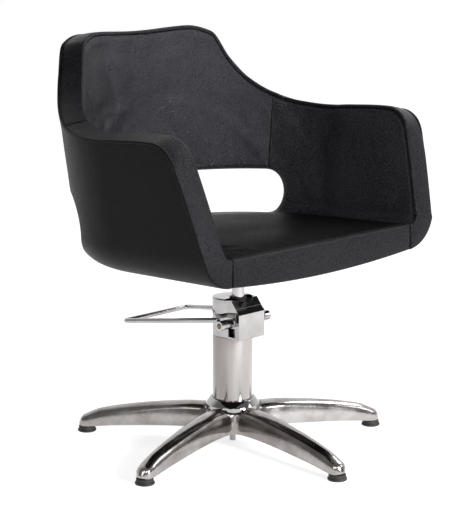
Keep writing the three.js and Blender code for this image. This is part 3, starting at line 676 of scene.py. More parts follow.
def arm_pad():
    """Inner face of the +X arm, from the front seam to the upright seam beside the back."""
    front = rim_path(0, len(RIM), INNER_INSET)
    seam = wall_u(PANEL_SEAM)
    keep = (front[:, 0] > seam) & (front[:, 1] > FOOT - CREASE_RUN)
    loop = [(seam, float(np.interp(seam, front[:200, 0], front[:200, 1])))]
    loop += [tuple(p) for p in front[keep]]
    us = np.linspace(FRONT_U - INNER_INSET, seam, 60)
    slot_loop = on_wall(slot_edge(SLOT_ROLL), WALL, WALL)
    slot_part = [tuple(p) for p in slot_loop[::-1] if p[0] > seam]
    crease = [(u, float(crease_line(np.array([u]))[0])) for u in us if u > slot_part[0][0] + 4]
    slot_part = [p for p in slot_part if p[1] > crease[-1][1] + 2]
    return loop + crease + slot_part


def back_pad():
    seam = wall_u(PANEL_SEAM)
    top = [tuple(p) for p in rim_path(0, 200, INNER_INSET) if p[0] < seam - 2]
    inner = rim_path(0, 200, INNER_INSET)
    top.append((seam, float(np.interp(seam, inner[:, 0], inner[:, 1]))))
    bottom = [(u, v) for u, v in on_wall(slot_edge(SLOT_ROLL), WALL, WALL)[:12] if u < seam - 1]
    bottom.append((seam, float(on_wall([(seam, SLOT_TOP_Z + SLOT_ROLL)], WALL, WALL)[0, 1]) - 1))
    half = top + bottom[::-1]
    return half + [(-u, v) for u, v in half[::-1] if u > 0.01]


def side_cover():
    front = rim_path(0, len(RIM), RIM_INSET)
    seam = wall_u(OUTSIDE_SEAM)
    low = FOOT - QUARTER + 2
    keep = (front[:, 0] > seam + 1) & (front[:, 1] > low)
    loop = [(seam, float(np.interp(seam, front[:200, 0], front[:200, 1])))]
    loop += [tuple(p) for p in front[keep]]
    loop += [(u, low) for u in np.linspace(FRONT_U - RIM_INSET, seam, 50)]
    slot_loop = on_wall(slot_edge(SLOT_ROLL), 0.0)
    corners = on_wall([(seam, SLOT_BOTTOM_Z - SLOT_ROLL), (seam, SLOT_TOP_Z + SLOT_ROLL)], 0.0)
    around = [tuple(p) for p in slot_loop[::-1] if p[0] > seam + 1]
    return loop + [tuple(corners[0])] + around + [tuple(corners[1])]


def back_cover(upper):
    seam = wall_u(OUTSIDE_SEAM)
    slot_loop = on_wall([(seam, SLOT_TOP_Z + SLOT_ROLL), (seam, SLOT_BOTTOM_Z - SLOT_ROLL)], 0.0)
    if upper:
        half = [tuple(p) for p in rim_path(0, 200, RIM_INSET) if p[0] < seam - 2]
        half.append((seam, float(np.interp(seam, RIM[:200, 0], RIM[:200, 1])) - RIM_INSET))
        half += [(u, slot_loop[0][1]) for u in np.linspace(seam, 0, 20)]
    else:
        half = [(u, slot_loop[1][1]) for u in np.linspace(0, seam, 20)]
        half += [(u, FOOT - QUARTER + 2) for u in np.linspace(seam, 0, 20)]
    return half + [(-u, v) for u, v in half[::-1] if u > 0.01]


def plan_edge(run, depth, fillet_depth, front_inset=RIM_INSET):
    """Plan outline of the +X half of the floor, from the middle of the back to the front."""
    u = np.concatenate([np.linspace(0, FAN, 90), np.linspace(FAN, FRONT_U - front_inset, 30)[1:]])
    return shell(u, foot_of(u)[1] - run, depth, fillet_depth)[:, :2]


def floor_z(x, y, depth):
    along = np.clip((y - FRONT_Y) / (SIDE_END_Y + BACK_DEPTH - FRONT_Y), 0, 1)
    return SEAT_BOTTOM_Z + depth - along * (OUTER_RAKE + (INNER_RAKE - OUTER_RAKE) * depth / WALL)


def underside_bow(x, y):
    half = HALF_WIDTH - OUTER_FILLET
    back = np.maximum(y - SIDE_END_Y, 0) / (BACK_DEPTH - OUTER_FILLET)
    width = half * np.sqrt(np.clip(1 - back ** 2, 0, 1))
    weight = np.clip(1.5 * width / HALF_WIDTH, 0, 1)
    return BOTTOM_BOW * weight * np.clip(1 - (x / np.maximum(width, 1)) ** 2, 0, 1)


def seat_pad_object():
    edge = plan_edge(CREASE_RUN + 2, WALL, WALL, INNER_INSET)
    half = [(0.0, edge[0][1])] + [tuple(p) for p in edge[1:]]
    loop = half + [(-x, y) for x, y in half[::-1] if x > 0.01]
    flat, faces, distance = fill_outline(loop, grid=9.5)
    x, y = flat[:, 0], flat[:, 1]
    to_front = y - FRONT_Y - INNER_INSET
    off = roll_off(distance, drop=2.6, radius=7.0, valley=0.0, crown=6.0, swell=50.0)
    side = np.clip(to_front / 25, 0, 1)
    lift = 0.8 * np.exp(-distance / 6) * side
    front_off = roll_off(distance, drop=1.4, radius=2.6, stitch=4.0, valley=0.4, crown=5.0, swell=50.0)
    off = front_off * (1 - side) + off * side
    top = np.stack([x, y, floor_z(x, y, WALL) - off + lift], -1)
    bottom = np.stack([x, y, floor_z(x, y, WALL) - SHEET - 4 + 0 * x], -1)
    return pin(close_sheet("seat_cushion", top, bottom, faces), distance)


def bottom_cover_object():
    edge = plan_edge(QUARTER + 0.5, 0.0, 0.0)
    notch, mid = 84.0, -15.0            # half size and centre of the opening for the seat mounting
    half = [(0.6, edge[0][1])] + [tuple(p) for p in edge[1:]]
    half += [(0.6, FRONT_Y + RIM_INSET), (0.6, mid - notch), (notch, mid - notch), (notch, mid + notch),
             (0.6, mid + notch)]
    flat, faces, distance = fill_outline(half, grid=11)
    x, y = flat[:, 0], flat[:, 1]
    off = roll_off(distance, drop=2.2, radius=5.0, crown=0.0)
    z = floor_z(x, y, 0.0) - underside_bow(x, y)
    top = np.stack([x, y, z + off], -1)
    bottom = np.stack([x, y, floor_z(x, y, 0.0) + SHEET + 0 * x], -1)
    right = close_sheet("bottom_skin", top, bottom, faces)
    left = mirrored(right, "bottom_skin_half")
    return join_objects([right, left])


def join_objects(objects):
    with bpy.context.temp_override(active_object=objects[0], object=objects[0],
                                   selected_objects=objects, selected_editable_objects=objects):
        bpy.ops.object.join()
    return objects[0]


def resampled(path, step):
    length = run_length(path)
    total = length[-1]
    middle = np.linspace(EDGE_ROWS[-1], total - EDGE_ROWS[-1], max(2, int(total / step)))
    close = np.array(EDGE_ROWS[:-1])
    rows = np.concatenate([[0.0], close, middle, total - close[::-1], [total]])
    return np.stack([np.interp(rows, length, path[:, k]) for k in (0, 1)], -1), rows, total


def band_profile():
    """Across the band: depth, inset, the way the surface faces and the distance to its nearer seam.
    It starts at the outer corner and wraps round the inner one."""
    rows = [0.0, 0.7, 1.6, 2.8, 4.4, 6.2, 8.5, 12.0, 16.5, 22.0, 28.0, 34.0, 38.5]
    flat_end = WALL - WRAP_RADIUS
    points = [(1.5 + a, 0.0, 0.0, -1.0) for a in rows if 1.5 + a < flat_end - 1]
    for angle in np.radians(np.arange(0, 91, 11.25)):
        points.append((flat_end + WRAP_RADIUS * math.sin(angle), WRAP_RADIUS - WRAP_RADIUS * math.cos(angle),
                       math.sin(angle), -math.cos(angle)))
    points += [(WALL, WRAP_RADIUS + a, 1.0, 0.0) for a in (0.5, 1.0, WRAP - WRAP_RADIUS)]
    points = np.array(points)
    length = run_length(points[:, :2])
    return points, np.minimum(length, length[-1] - length)


def band_points(path, ends):
    """Outside and inside sheets of a stretch of rim band. ends says which ends are seams."""
    places, rows, total = resampled(path, 5.0)
    tangent = np.gradient(places, axis=0)
    tangent /= np.linalg.norm(tangent, axis=1, keepdims=True)
    inward = np.stack([tangent[:, 1], -tangent[:, 0]], -1)
    profile, edge_distance = band_profile()
    start = rows if ends[0] else rows + 100
    stop = total - rows if ends[1] else total - rows + 100
    distance = np.minimum(np.minimum(start, stop)[:, None], edge_distance[None])
    sunk = roll_off(distance, drop=1.3, radius=2.4, valley=0.2, crown=1.9, swell=14.0)
    top_run = np.clip((places[:, 1] - 560) / 60, 0, 1)[:, None]
    tilt = 4.0 * (1 - profile[None, :, 0] / WALL) * top_run
    grids = []
    for off in (sunk, np.full_like(sunk, SHEET)):
        depth = profile[None, :, 0] - profile[None, :, 2] * off
        inset = profile[None, :, 1] - profile[None, :, 3] * off + tilt
        uv = places[:, None, :] + inward[:, None, :] * inset[..., None]
        grids.append(shell(uv[..., 0], uv[..., 1], depth, 0.0, bow=True))
    return grids


def band_object(name, grids):
    top, bottom = grids
    n, m = top.shape[:2]
    faces = [(i * m + j, (i + 1) * m + j, (i + 1) * m + j + 1, i * m + j + 1)
             for i in range(n - 1) for j in range(m - 1)]
    return close_sheet(name, top.reshape(-1, 3), bottom.reshape(-1, 3), faces)


def flip_x(grid):
    return grid * [-1, 1, 1]


def rim_bands():
    seam_u = wall_u(BAND_SEAM)
    split = int(np.argmax(RIM[:, 0] > seam_u))
    back = RIM[:split]
    arm = RIM[split:LOWER_CORNER]
    front = RIM[LOWER_CORNER:]
    half = band_points(back, (False, True))
    whole = [np.concatenate([flip_x(g)[::-1][:-1], g]) for g in half]
    made = {"rim_trim_back": band_object("rim_trim_back", whole)}
    side = band_points(arm, (True, True))
    made["rim_trim_left"] = band_object("rim_trim_left", side)
    made["rim_trim_right"] = band_object("rim_trim_right", [flip_x(g) for g in side])
    half = band_points(front, (True, False))
    whole = [np.concatenate([g[:-1], flip_x(g)[::-1]]) for g in half]
    made["rim_trim_front"] = band_object("rim_trim_front", whole)
    return made


def slot_lining():
    """A padded roll all round the slot."""
    right = slot_edge(0.0)
    right = outline_open(right, 7.0)
    loop = np.array(right + [(-u, z) for u, z in right[::-1][1:-1]])
    tangent = np.roll(loop, -1, 0) - np.roll(loop, 1, 0)
    tangent /= np.linalg.norm(tangent, axis=1, keepdims=True)
    hole = np.stack([tangent[:, 1], -tangent[:, 0]], -1)     # towards the middle of the slot
    s = np.sin(np.linspace(-np.pi / 2, np.pi / 2, 19)) / 2 + 0.5
    sheets = []
    for extra in (0.0, 5.0):
        rows = []
        for share in s:
            reach = -SLOT_ROLL + (SLOT_ROLL + 2.0) * (1 - abs(2 * share - 1) ** 7) - extra
            flat = loop + hole * reach
            depth = WALL - 2.6 - (WALL - 5.2) * share - (extra * 0.8 if share < 0.5 else -extra * 0.8) * (
                1 if abs(2 * share - 1) > 0.9 else 0)
            fillet = WALL * (1 - share)
            v = height_on_wall(flat[:, 0], flat[:, 1], depth, fillet)
            rows.append(shell(flat[:, 0], v, depth, fillet))
        sheets.append(np.stack(rows, 1))
    top, bottom = sheets
    n, m = top.shape[:2]
    faces = [(i * m + j, ((i + 1) % n) * m + j, ((i + 1) % n) * m + j + 1, i * m + j + 1)
             for i in range(n) for j in range(m - 1)]
    return close_sheet("slot_lining", top.reshape(-1, 3), bottom.reshape(-1, 3), faces)


def outline_open(points, step):
    points = np.array(points, float)
    length = run_length(points)
    places = np.linspace(0, length[-1], int(length[-1] / step))
    return [tuple(p) for p in np.stack([np.interp(places, length, points[:, k]) for k in (0, 1)], -1)]


CORE_OUTER, CORE_INNER = 8.0, 33.0     # depths of the ply's two faces
CORE_INSET = 15.0                      # the ply stops this far inside the panel over it


def core_panel(name, loop):
    """The moulded ply under a panel, drawn in from its edges."""
    flat, faces, _ = fill_outline(loop, grid=14)
    count = len(flat)
    top = shell(flat[:, 0], flat[:, 1], np.full(count, CORE_OUTER), CORE_INNER)
    bottom = shell(flat[:, 0], flat[:, 1], np.full(count, CORE_INNER), CORE_INNER)
    return close_sheet(name, top, bottom, faces)


def shrink(loop, by):
    """A loop drawn in by a distance, with its folds taken out."""
    loop, inward = turned_inward(outline_step(loop, 9.0))
    moved = loop + inward * by
    return moved[inside(moved, loop) & (distance_to(moved, loop) > by * 0.95)]


THREAD_RADIUS = 0.38
STITCH_PITCH = 4.2
STITCH_LENGTH = 3.1


def stitches(name, places, outward):
    """A row of separate thread loops along a line of points, lying on the surface."""
    places, outward = np.asarray(places), np.asarray(outward)
    length = run_length(places)
    verts, faces = [], []
    profile = [(-0.5, 0.15), (-0.42, 0.8), (-0.15, 1.0), (0.15, 1.0), (0.42, 0.8), (0.5, 0.15)]
    sides = 6
    for start in np.arange(2.0, length[-1] - STITCH_PITCH, STITCH_PITCH):
        at = [start + STITCH_LENGTH * (share + 0.5) for share, _ in profile]
        line = np.stack([np.interp(at, length, places[:, k]) for k in range(3)], -1)
        up = np.stack([np.interp(at, length, outward[:, k]) for k in range(3)], -1)
        way = line[-1] - line[0]
        way /= np.linalg.norm(way)
        base = len(verts)
        for (share, size), point, lift in zip(profile, line, up):
            lift = lift - way * (lift @ way)
            lift /= np.linalg.norm(lift)
            side = np.cross(way, lift)
            centre = point + lift * (0.32 - 1.6 * share * share)
            for k in range(sides):
                angle = 2 * math.pi * k / sides
                verts.append(centre + THREAD_RADIUS * size * (math.cos(angle) * side
                                                              + math.sin(angle) * lift))
        rings = len(profile)
        for r in range(rings - 1):
            for k in range(sides):
                a, b = base + r * sides + k, base + r * sides + (k + 1) % sides
                faces.append((a, b, b + sides, a + sides))
        faces.append(tuple(base + k for k in range(sides))[::-1])
        faces.append(tuple(base + (rings - 1) * sides + k for k in range(sides)))
    return make_object(name, verts, faces)


def stitch_line(name, uv, face, off=0.4):
    """Stitches along a line in the flat plan of an inner or outer panel."""
    uv = np.asarray(uv, float)
    places = face(uv[:, 0], uv[:, 1], np.full(len(uv), off))
    deeper = face(uv[:, 0], uv[:, 1], np.full(len(uv), off + 1.0))
    out = places - deeper
    out /= np.linalg.norm(out, axis=1, keepdims=True)
    return stitches(name, places, out)


STITCH_IN = 4.0


def seam_rows():
    """All the top stitching: beside the rim seams, the upright seams and the slot."""
    rows = []
    inner_rim = rim_path(0, len(RIM), INNER_INSET + STITCH_IN)
    crease_v = FOOT - CREASE_RUN + 4
    seam = wall_u(PANEL_SEAM)
    keep = (inner_rim[:, 0] > seam + STITCH_IN) & (inner_rim[:, 1] > crease_v)
    for name, uv, face in (
            ("arm_seam", inner_rim[keep], inner_face),
            ("back_rim_seam", inner_rim[inner_rim[:, 0] < seam - STITCH_IN], inner_face)):
        rows.append(stitch_line(name, uv, face))
    upright_v = np.linspace(SLOT_TOP_Z + 22, float(np.interp(seam, RIM[:200, 0], RIM[:200, 1])) - 9, 90)
    for side, name in ((-STITCH_IN, "upright_back"), (STITCH_IN, "upright_arm")):
        uv = np.stack([np.full(90, seam + side), upright_v], -1)
        rows.append(stitch_line(name, uv, inner_face))
    slot_uv = on_wall(outline_open(slot_edge(SLOT_ROLL + STITCH_IN)[:16], 6.0), WALL, WALL)
    rows.append(stitch_line("slot_seam", slot_uv, inner_face))
    outer_rim = rim_path(0, len(RIM), RIM_INSET + STITCH_IN)
    keep = outer_rim[:, 1] > FOOT - QUARTER + 6
    rows.append(stitch_line("outer_rim_seam", outer_rim[keep], outer_face))
    edge_x = plan_edge(CREASE_RUN + 2, WALL, WALL, INNER_INSET)[-1][0]
    x = np.linspace(0, edge_x - 8, 60)
    y = np.full_like(x, FRONT_Y + INNER_INSET + STITCH_IN)
    places = np.stack([x, y, floor_z(x, y, WALL) + 0.35], -1)
    rows.append(stitches("seat_front_seam", places, np.tile([0.0, 0.0, 1.0], (60, 1))))
    both = []
    for obj in rows:
        both += [obj, mirrored(obj, obj.name + "_b")]
    return join_objects(both)


def build_shell():
    seat_slot, pad_slot = "black_vinyl", "black_vinyl_padded"
    made = {}
    # The inner pads and the slot lining take the lighter copy of the vinyl (painted light), the outer skins
    # the darker copy (painted shade).
    arm = puff(panel("arm_cushion_left", arm_pad(), inner_face), CUSHION_PRESSURE, ARM_PUFF)
    made["arm_cushion_left"] = dress(arm, VINYL_LIT_INSIDE, "seat", pad_slot, "arm_pad_left")
    made["arm_cushion_right"] = dress(mirrored(arm, "arm_cushion_right"), VINYL_LIT_INSIDE, "seat", pad_slot,
                                      "arm_pad_right")
    back = puff(panel("back_cushion", back_pad(), inner_face, crown=2.5, swell=60.0),
                CUSHION_PRESSURE, CUSHION_PUFF)
    made["back_cushion"] = dress(back, VINYL_LIT_INSIDE, "seat", pad_slot, "back_pad")
    seat = puff(seat_pad_object(), CUSHION_PRESSURE, CUSHION_PUFF)
    made["seat_cushion"] = dress(seat, VINYL_SEAT_PAINTED_REFLECTION, "seat", pad_slot, "seat_pad")
    side = panel("side_skin_left", side_cover(), outer_face, crown=0.8)
    side.vertex_groups.clear()
    dress(side, VINYL_SHADED_OUTSIDE, "seat", seat_slot, "outer_cover_left")
    dress(mirrored(side, "side_skin_right"), VINYL_SHADED_OUTSIDE, "seat", seat_slot, "outer_cover_right")
    upper = panel("back_skin", back_cover(True), outer_face, crown=0.8)
    lower = panel("back_skin_low", back_cover(False), outer_face, crown=0.3)
    upper.vertex_groups.clear()
    lower.vertex_groups.clear()
    dress(join_objects([upper, lower]), VINYL_SHADED_OUTSIDE, "seat", seat_slot, "outer_cover_back")
    dress(bottom_cover_object(), VINYL_SHADED_OUTSIDE, "seat", seat_slot, "bottom_cover")
    for name, obj in rim_bands().items():
        dress(obj, VINYL_LIT_BAND, "seat", seat_slot, name.replace("rim_trim", "rim_band"))
    made["slot_lining"] = dress(slot_lining(), VINYL_LIT_INSIDE, "seat", seat_slot)
    thread = seam_rows()
    thread.name = thread.data.name = "top_stitching"
    dress(thread, THREAD, "seat", seat_slot)
    core = core_panel("arm_ply_left", shrink(arm_pad(), CORE_INSET))
    dress(core, PLY, "seat", "moulded_ply", "arm_core_left")
    dress(mirrored(core, "arm_ply_right"), PLY, "seat", "moulded_ply", "arm_core_right")
    dress(core_panel("back_ply", shrink(back_pad(), CORE_INSET)), PLY, "seat", "moulded_ply", "back_core")
    return made


soft = build_shell()


# ------------------------------------------------------------------ star base
LEG_ANGLES = [49, 121, 193, 265, 337]
# distance from the centre, half width, lower edge, crease at the sides, ridge in the middle
LEG = np.array([
    [34, 24, 29, 71, 78], [97, 22, 30, 70, 77], [150, 20, 27, 62.5, 71.5], [201, 19, 23, 53, 64],
    [245, 18, 19, 43.5, 55.5], [280, 17, 14.5, 34, 46], [298, 16, 12.4, 29.5, 37.5],
    [309, 12.5, 12.4, 26, 31], [315.5, 4, 14.5, 20.5, 22.5]])
HUB_VALLEY = 42.1                      # where two legs meet, measured along a leg
HUB_TOP_Z = 70.5
HUB_BOTTOM_Z = 27.0
HUB_BORE = 39.6
HUB_RECESS = 57.0                      # the ring round the collar that lies below the legs


def leg_value(column, s):
    """A leg dimension at a distance, smoothed through the sections."""
    x, y = LEG[:, 0], LEG[:, column]
    return cubic(s, x, y, np.gradient(y, x))


def leg_half_width(s):
    return leg_value(1, s) + 7.0 * np.exp(-np.maximum(s - HUB_VALLEY, 0) / 5.4)


def star_base():
    s = np.concatenate([HUB_VALLEY + np.array([0, 1, 2.5, 4.5, 7, 10, 14]), np.linspace(60, 296, 60),
                        np.array([300, 303.5, 306.5, 309, 311, 313, 314.5, 315.5])])
    edge = np.concatenate([np.stack([s, -leg_half_width(s)], -1),
                           np.stack([s, leg_half_width(s)], -1)[::-1]])
    loop = []
    for angle in LEG_ANGLES:
        c, n = math.cos(math.radians(angle)), math.sin(math.radians(angle))
        loop += [(x * c - y * n, x * n + y * c) for x, y in edge]
    circles = [(r * math.cos(a), r * math.sin(a)) for r in (37.5, HUB_BORE, HUB_RECESS - 4, HUB_RECESS - 1,
                                                            HUB_RECESS + 0.5)
               for a in np.linspace(0, 2 * math.pi, 96, endpoint=False)]
    circles = np.array(circles)
    circles = circles[inside(circles, np.array(loop))]
    circles = circles[distance_to(circles, np.array(loop)) > 3.0]
    flat, faces, distance = fill_outline(np.array(loop), edge_step=4.0, grid=8.0, extra=circles)
    angle = np.degrees(np.arctan2(flat[:, 1], flat[:, 0]))
    off = (angle[:, None] - np.array(LEG_ANGLES)[None] + 180) % 360 - 180
    off = np.radians(off[np.arange(len(flat)), np.abs(off).argmin(1)])
    radius = np.linalg.norm(flat, axis=1)
    along, lateral = radius * np.cos(off), np.abs(radius * np.sin(off))
    s_at = np.maximum(along, HUB_VALLEY)
    share = np.clip(lateral / leg_half_width(s_at), 0, 1)
    crease, ridge, low = leg_value(3, s_at), leg_value(4, s_at), leg_value(2, s_at)
    top = crease + (ridge - crease) * (1 - share**2.2)
    top -= 3.4 * np.clip(1 - distance / 4.6, 0, 1) ** 2.0
    recess = np.clip((HUB_RECESS + 0.5 - radius) / 4.0, 0, 1)
    recess = recess * recess * (3 - 2 * recess)
    top = np.where(radius < HUB_RECESS + 0.5, top + (np.minimum(top, HUB_TOP_Z - 0.3) - top) * recess, top)
    top = np.where(radius < HUB_BORE - 0.5, HUB_BOTTOM_Z + 4.0, top)
    hollow = np.clip((distance - 3.0) / 2.6, 0, 1)
    hollow = hollow * hollow * (3 - 2 * hollow) * np.clip((radius - 52) / 6, 0, 1)
    under = low + 0.6 * np.exp(-distance)
    under += (np.maximum(top - 5.5, low) - low) * hollow
    hub_under = HUB_BOTTOM_Z + (low - HUB_BOTTOM_Z) * np.clip((radius - 44) / 6, 0, 1)
    under = np.where(radius < 50, hub_under, under)
    return close_sheet("star_base_casting", np.column_stack([flat, top]),
                       np.column_stack([flat, under]), faces)


def lathe(name, profile, segments=96, x=0.0, y=0.0):
    """A closed body turned about +Z. The profile is a closed loop of (radius, z)."""
    profile = np.asarray(profile, float)
    verts, faces = [], []
    n = len(profile)
    for k in range(segments):
        a = 2 * math.pi * k / segments
        for r, z in profile:
            verts.append((x + max(r, 0.001) * math.cos(a), y + max(r, 0.001) * math.sin(a), z))
    for k in range(segments):
        for j in range(n):
            a, b = k * n + j, k * n + (j + 1) % n
            c, d = ((k + 1) % segments) * n + (j + 1) % n, ((k + 1) % segments) * n + j
            faces.append((a, d, c, b))
    obj = make_object(name, verts, faces)
    face_out(obj)
    return crisp(obj)


def crisp(obj, angle=32):
    obj.data.set_sharp_from_angle(angle=math.radians(angle))
    return obj


def eased(points, radius, steps=3):
    """A closed profile with its corners rounded."""
    points = [np.array(p, float) for p in points]
    out = []
    for i, p in enumerate(points):
        a, b = points[i - 1] - p, points[(i + 1) % len(points)] - p
        reach = min(radius, np.linalg.norm(a) / 2.2, np.linalg.norm(b) / 2.2)
        start, end = p + a / np.linalg.norm(a) * reach, p + b / np.linalg.norm(b) * reach
        for t in np.linspace(0, 1, steps + 1):
            out.append((1 - t) ** 2 * start + 2 * t * (1 - t) * p + t * t * end)
    return out


casting = star_base()
crisp(casting, 40)
dress(casting, CAST, "base", "polished_aluminium", "star_base")
collar = lathe("collar_ring", eased([(39.3, 70.8), (50, 70.8), (52.5, 74), (52.5, 81), (44, 92),
                                     (39.3, 93)], 0.8))
dress(collar, CHROME, "base", "chrome", "hub_collar")
column = lathe("column_tube", eased([(35.6, 32), (39, 32), (39, 218.2), (35.6, 218.2)], 0.5), 120)
dress(column, TUBE, "base", "chrome", "pump_tube")
for i in range(1, 6):
    low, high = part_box("glide_%d" % i)
    centre = ((low[0] + high[0]) / 2 / MM, (low[1] + high[1]) / 2 / MM)
    foot = lathe("foot_glide_%d" % i, eased([
        (4.4, 4), (4.4, 0.6), (17.2, 0), (18.6, 1.6), (18.2, 4.2), (16.4, 5.2), (16.2, 11), (15, 12),
        (4.4, 12)], 0.7), 48, *centre)
    dress(foot, RUBBER, "base", "black_rubber", "glide_%d" % i)


# ------------------------------------------------------------------ pump head and pedal
HEAD_Z, HEAD_TOP_Z, HEAD_R = 218.5, 292.0, 39.3
BOX_HALF_WIDTH = 34.5
BOX_FRONT_Y, BOX_COVER_Y, BOX_CHAMFER_Y, BOX_CHAMFER_Z = -52.0, -43.5, -32.0, 267.3
ROD_Y = -15.0
ROD_HOLE_R, BARREL_BORE_R, BARREL_ROOF_Z = 13.2, 34.6, 284.0
BARREL_SEGMENTS = 120
SLIT_FRONT_Y, SLIT_BACK_Y, SLIT_TOP_Z = -41.0, -23.0, 239.5


def prism(name, outline, x0, x1):
    """A closed prism along X from an outline of (y, z)."""
    n = len(outline)
    verts = [(x, y, z) for x in (x0, x1) for y, z in outline]
    faces = [tuple(range(n))[::-1], tuple(range(n, 2 * n))]
    faces += [(i, (i + 1) % n, n + (i + 1) % n, n + i) for i in range(n)]
    obj = make_object(name, verts, faces, smooth=False)
    face_out(obj)
    return obj


def carve(obj, *tools):
    """Cuts tools out of a body and removes them."""
    for tool in tools:
        cutter = obj.modifiers.new("cut", "BOOLEAN")
        cutter.operation = "DIFFERENCE"
        cutter.solver = "EXACT"
        cutter.object = tool
    evaluated = obj.evaluated_get(bpy.context.evaluated_depsgraph_get())
    mesh = bpy.data.meshes.new_from_object(evaluated)
    obj.modifiers.clear()
    obj.data = mesh
    for tool in tools:
        bpy.data.objects.remove(tool)
    return obj


def side_cuts():
    """The slits under the levers and the bore for the shaft's bushes."""
    slit = [(SLIT_FRONT_Y, HEAD_Z + 3.2), (SLIT_BACK_Y, HEAD_Z + 3.2),
            (SLIT_BACK_Y, SLIT_TOP_Z), (SLIT_FRONT_Y, SLIT_TOP_Z)]
    slits = [prism("cut", slit, side * 30 - 6, side * 30 + 6) for side in (-1, 1)]
    low, high = [np.array(c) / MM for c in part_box("lever_bush_left")]
    (_, y, z), radius = (low + high) / 2, (high - low)[2] / 2 + 0.1
    turn = np.linspace(0, 2 * math.pi, 49)[:-1]
    bore = prism("cut", [(y + radius * math.cos(a), z + radius * math.sin(a)) for a in turn], -60, 60)
    return slits + [bore]


def pump_head():
    barrel = lathe("pump_head_casting", eased([
        (BARREL_BORE_R, HEAD_Z), (HEAD_R, HEAD_Z), (HEAD_R, HEAD_TOP_Z), (ROD_HOLE_R, HEAD_TOP_Z),
        (ROD_HOLE_R, BARREL_ROOF_Z), (BARREL_BORE_R, BARREL_ROOF_Z)], 0.6), BARREL_SEGMENTS)
    for vertex in barrel.data.vertices:  # the rod's hole stands in front of the column's axis
        if math.hypot(vertex.co.x, vertex.co.y) / MM < 30:
            vertex.co.y += ROD_Y * MM
    top_at = lambda y: HEAD_TOP_Z + (BOX_CHAMFER_Z - HEAD_TOP_Z) * (BOX_CHAMFER_Y - y) / (
        BOX_CHAMFER_Y - BOX_FRONT_Y)
    outline = [(-8.0, HEAD_Z), (BOX_COVER_Y, HEAD_Z), (BOX_COVER_Y, top_at(BOX_COVER_Y)),
               (BOX_CHAMFER_Y, HEAD_TOP_Z), (-8.0, HEAD_TOP_Z)]
    hollow = prism("cut", [(4, HEAD_Z + 4), (BOX_COVER_Y - 2, HEAD_Z + 4), (BOX_COVER_Y - 2, 262),
                           (-30, 272), (4, 272)], -30, 30)
    box = carve(prism("box", outline, -BOX_HALF_WIDTH, BOX_HALF_WIDTH), hollow,
                lathe("cut", [(0, 260), (ROD_HOLE_R, 260), (ROD_HOLE_R, 300), (0, 300)], 64, 0.0, ROD_Y),
                *side_cuts())
    bore = lathe("cut", [(0, HEAD_Z - 5), (BARREL_BORE_R, HEAD_Z - 5), (BARREL_BORE_R, BARREL_ROOF_Z),
                         (0, BARREL_ROOF_Z)], 64)
    slope = prism("cut", [(BOX_CHAMFER_Y, HEAD_TOP_Z - 0.1), (BOX_FRONT_Y, BOX_CHAMFER_Z - 0.1),
                          (BOX_FRONT_Y, HEAD_TOP_Z + 5), (BOX_CHAMFER_Y, HEAD_TOP_Z + 5)], -60, 60)
    window = prism("cut", [(-21, HEAD_Z + 4), (-60, HEAD_Z + 4), (-60, BARREL_ROOF_Z),
                           (-21, BARREL_ROOF_Z)], -30, 30)
    barrel = carve(barrel, slope, window, *side_cuts())
    box = carve(box, bore)
    head = join_objects([barrel, box])
    head.data.shade_smooth()
    crisp(head)
    dress(head, CHROME, "base", "chrome", "pump_head")
    plate_y = BOX_COVER_Y - 0.3
    cover = prism("cover_plate", [(plate_y, HEAD_Z - 1), (BOX_FRONT_Y, HEAD_Z - 1),
                                  (BOX_FRONT_Y, BOX_CHAMFER_Z), (plate_y, top_at(plate_y))],
                  -BOX_HALF_WIDTH, BOX_HALF_WIDTH)
    dress(cover, CHROME, "base", "chrome", "housing_cover")


def tube_along(name, path, radius, sides=20):
    path = np.asarray(path, float)
    way = np.gradient(path, axis=0)
    way /= np.linalg.norm(way, axis=1, keepdims=True)
    up = np.array([0.0, 0.0, 1.0])
    verts, faces = [], []
    for point, d in zip(path, way):
        side = np.cross(d, up)
        side /= np.linalg.norm(side)
        lift = np.cross(side, d)
        for k in range(sides):
            a = 2 * math.pi * k / sides
            verts.append(point + radius * (math.cos(a) * side + math.sin(a) * lift))
    rings = len(path)
    for r in range(rings - 1):
        for k in range(sides):
            a, b = r * sides + k, r * sides + (k + 1) % sides
            faces.append((a, b, b + sides, a + sides))
    faces.append(tuple(range(sides))[::-1])
    faces.append(tuple((rings - 1) * sides + k for k in range(sides)))
    obj = make_object(name, verts, faces)
    face_out(obj)
    return crisp(obj, 50)


def pedal():
    start, corner, bend = np.array([60, -22.5, 258.5]), np.array([85.0, 219, 220]), 10.0
    back = corner + (start - corner) / np.linalg.norm(start - corner) * bend
    inward = corner - [bend, 0, 0]
    half = [start + (back - start) * t for t in np.linspace(0, 1, 12)]
    half += [(1 - t) ** 2 * back + 2 * t * (1 - t) * corner + t * t * inward
             for t in np.linspace(0, 1, 10)[1:]]
    half += [inward * [1 - t, 1, 1] for t in np.linspace(0, 1, 10)[1:]]
    path = half + [p * [-1, 1, 1] for p in half[::-1][1:]]
    dress(tube_along("pedal_bar", path, 5.0), CHROME, "pedal", "chrome", "pedal_loop")


COIL_RADIUS, COIL_WIRE, COIL_TURNS = 5.6, 0.7, 4


def spring():
    low, high = [np.array(c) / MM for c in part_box("plunger_spring")]
    x, y = (low + high)[:2] / 2
    turns = np.linspace(0, COIL_TURNS * 2 * math.pi, 160)
    z = np.linspace(low[2] + 0.8, high[2] - 0.8, 160)
    path = np.stack([x + COIL_RADIUS * np.cos(turns), y + COIL_RADIUS * np.sin(turns), z], -1)
    coil = tube_along("plunger_coil", path, COIL_WIRE, 8)
    dress(coil, STEEL, "base", "plain_steel", "plunger_spring")
    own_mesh(coil)


pump_head()
pedal()
spring()


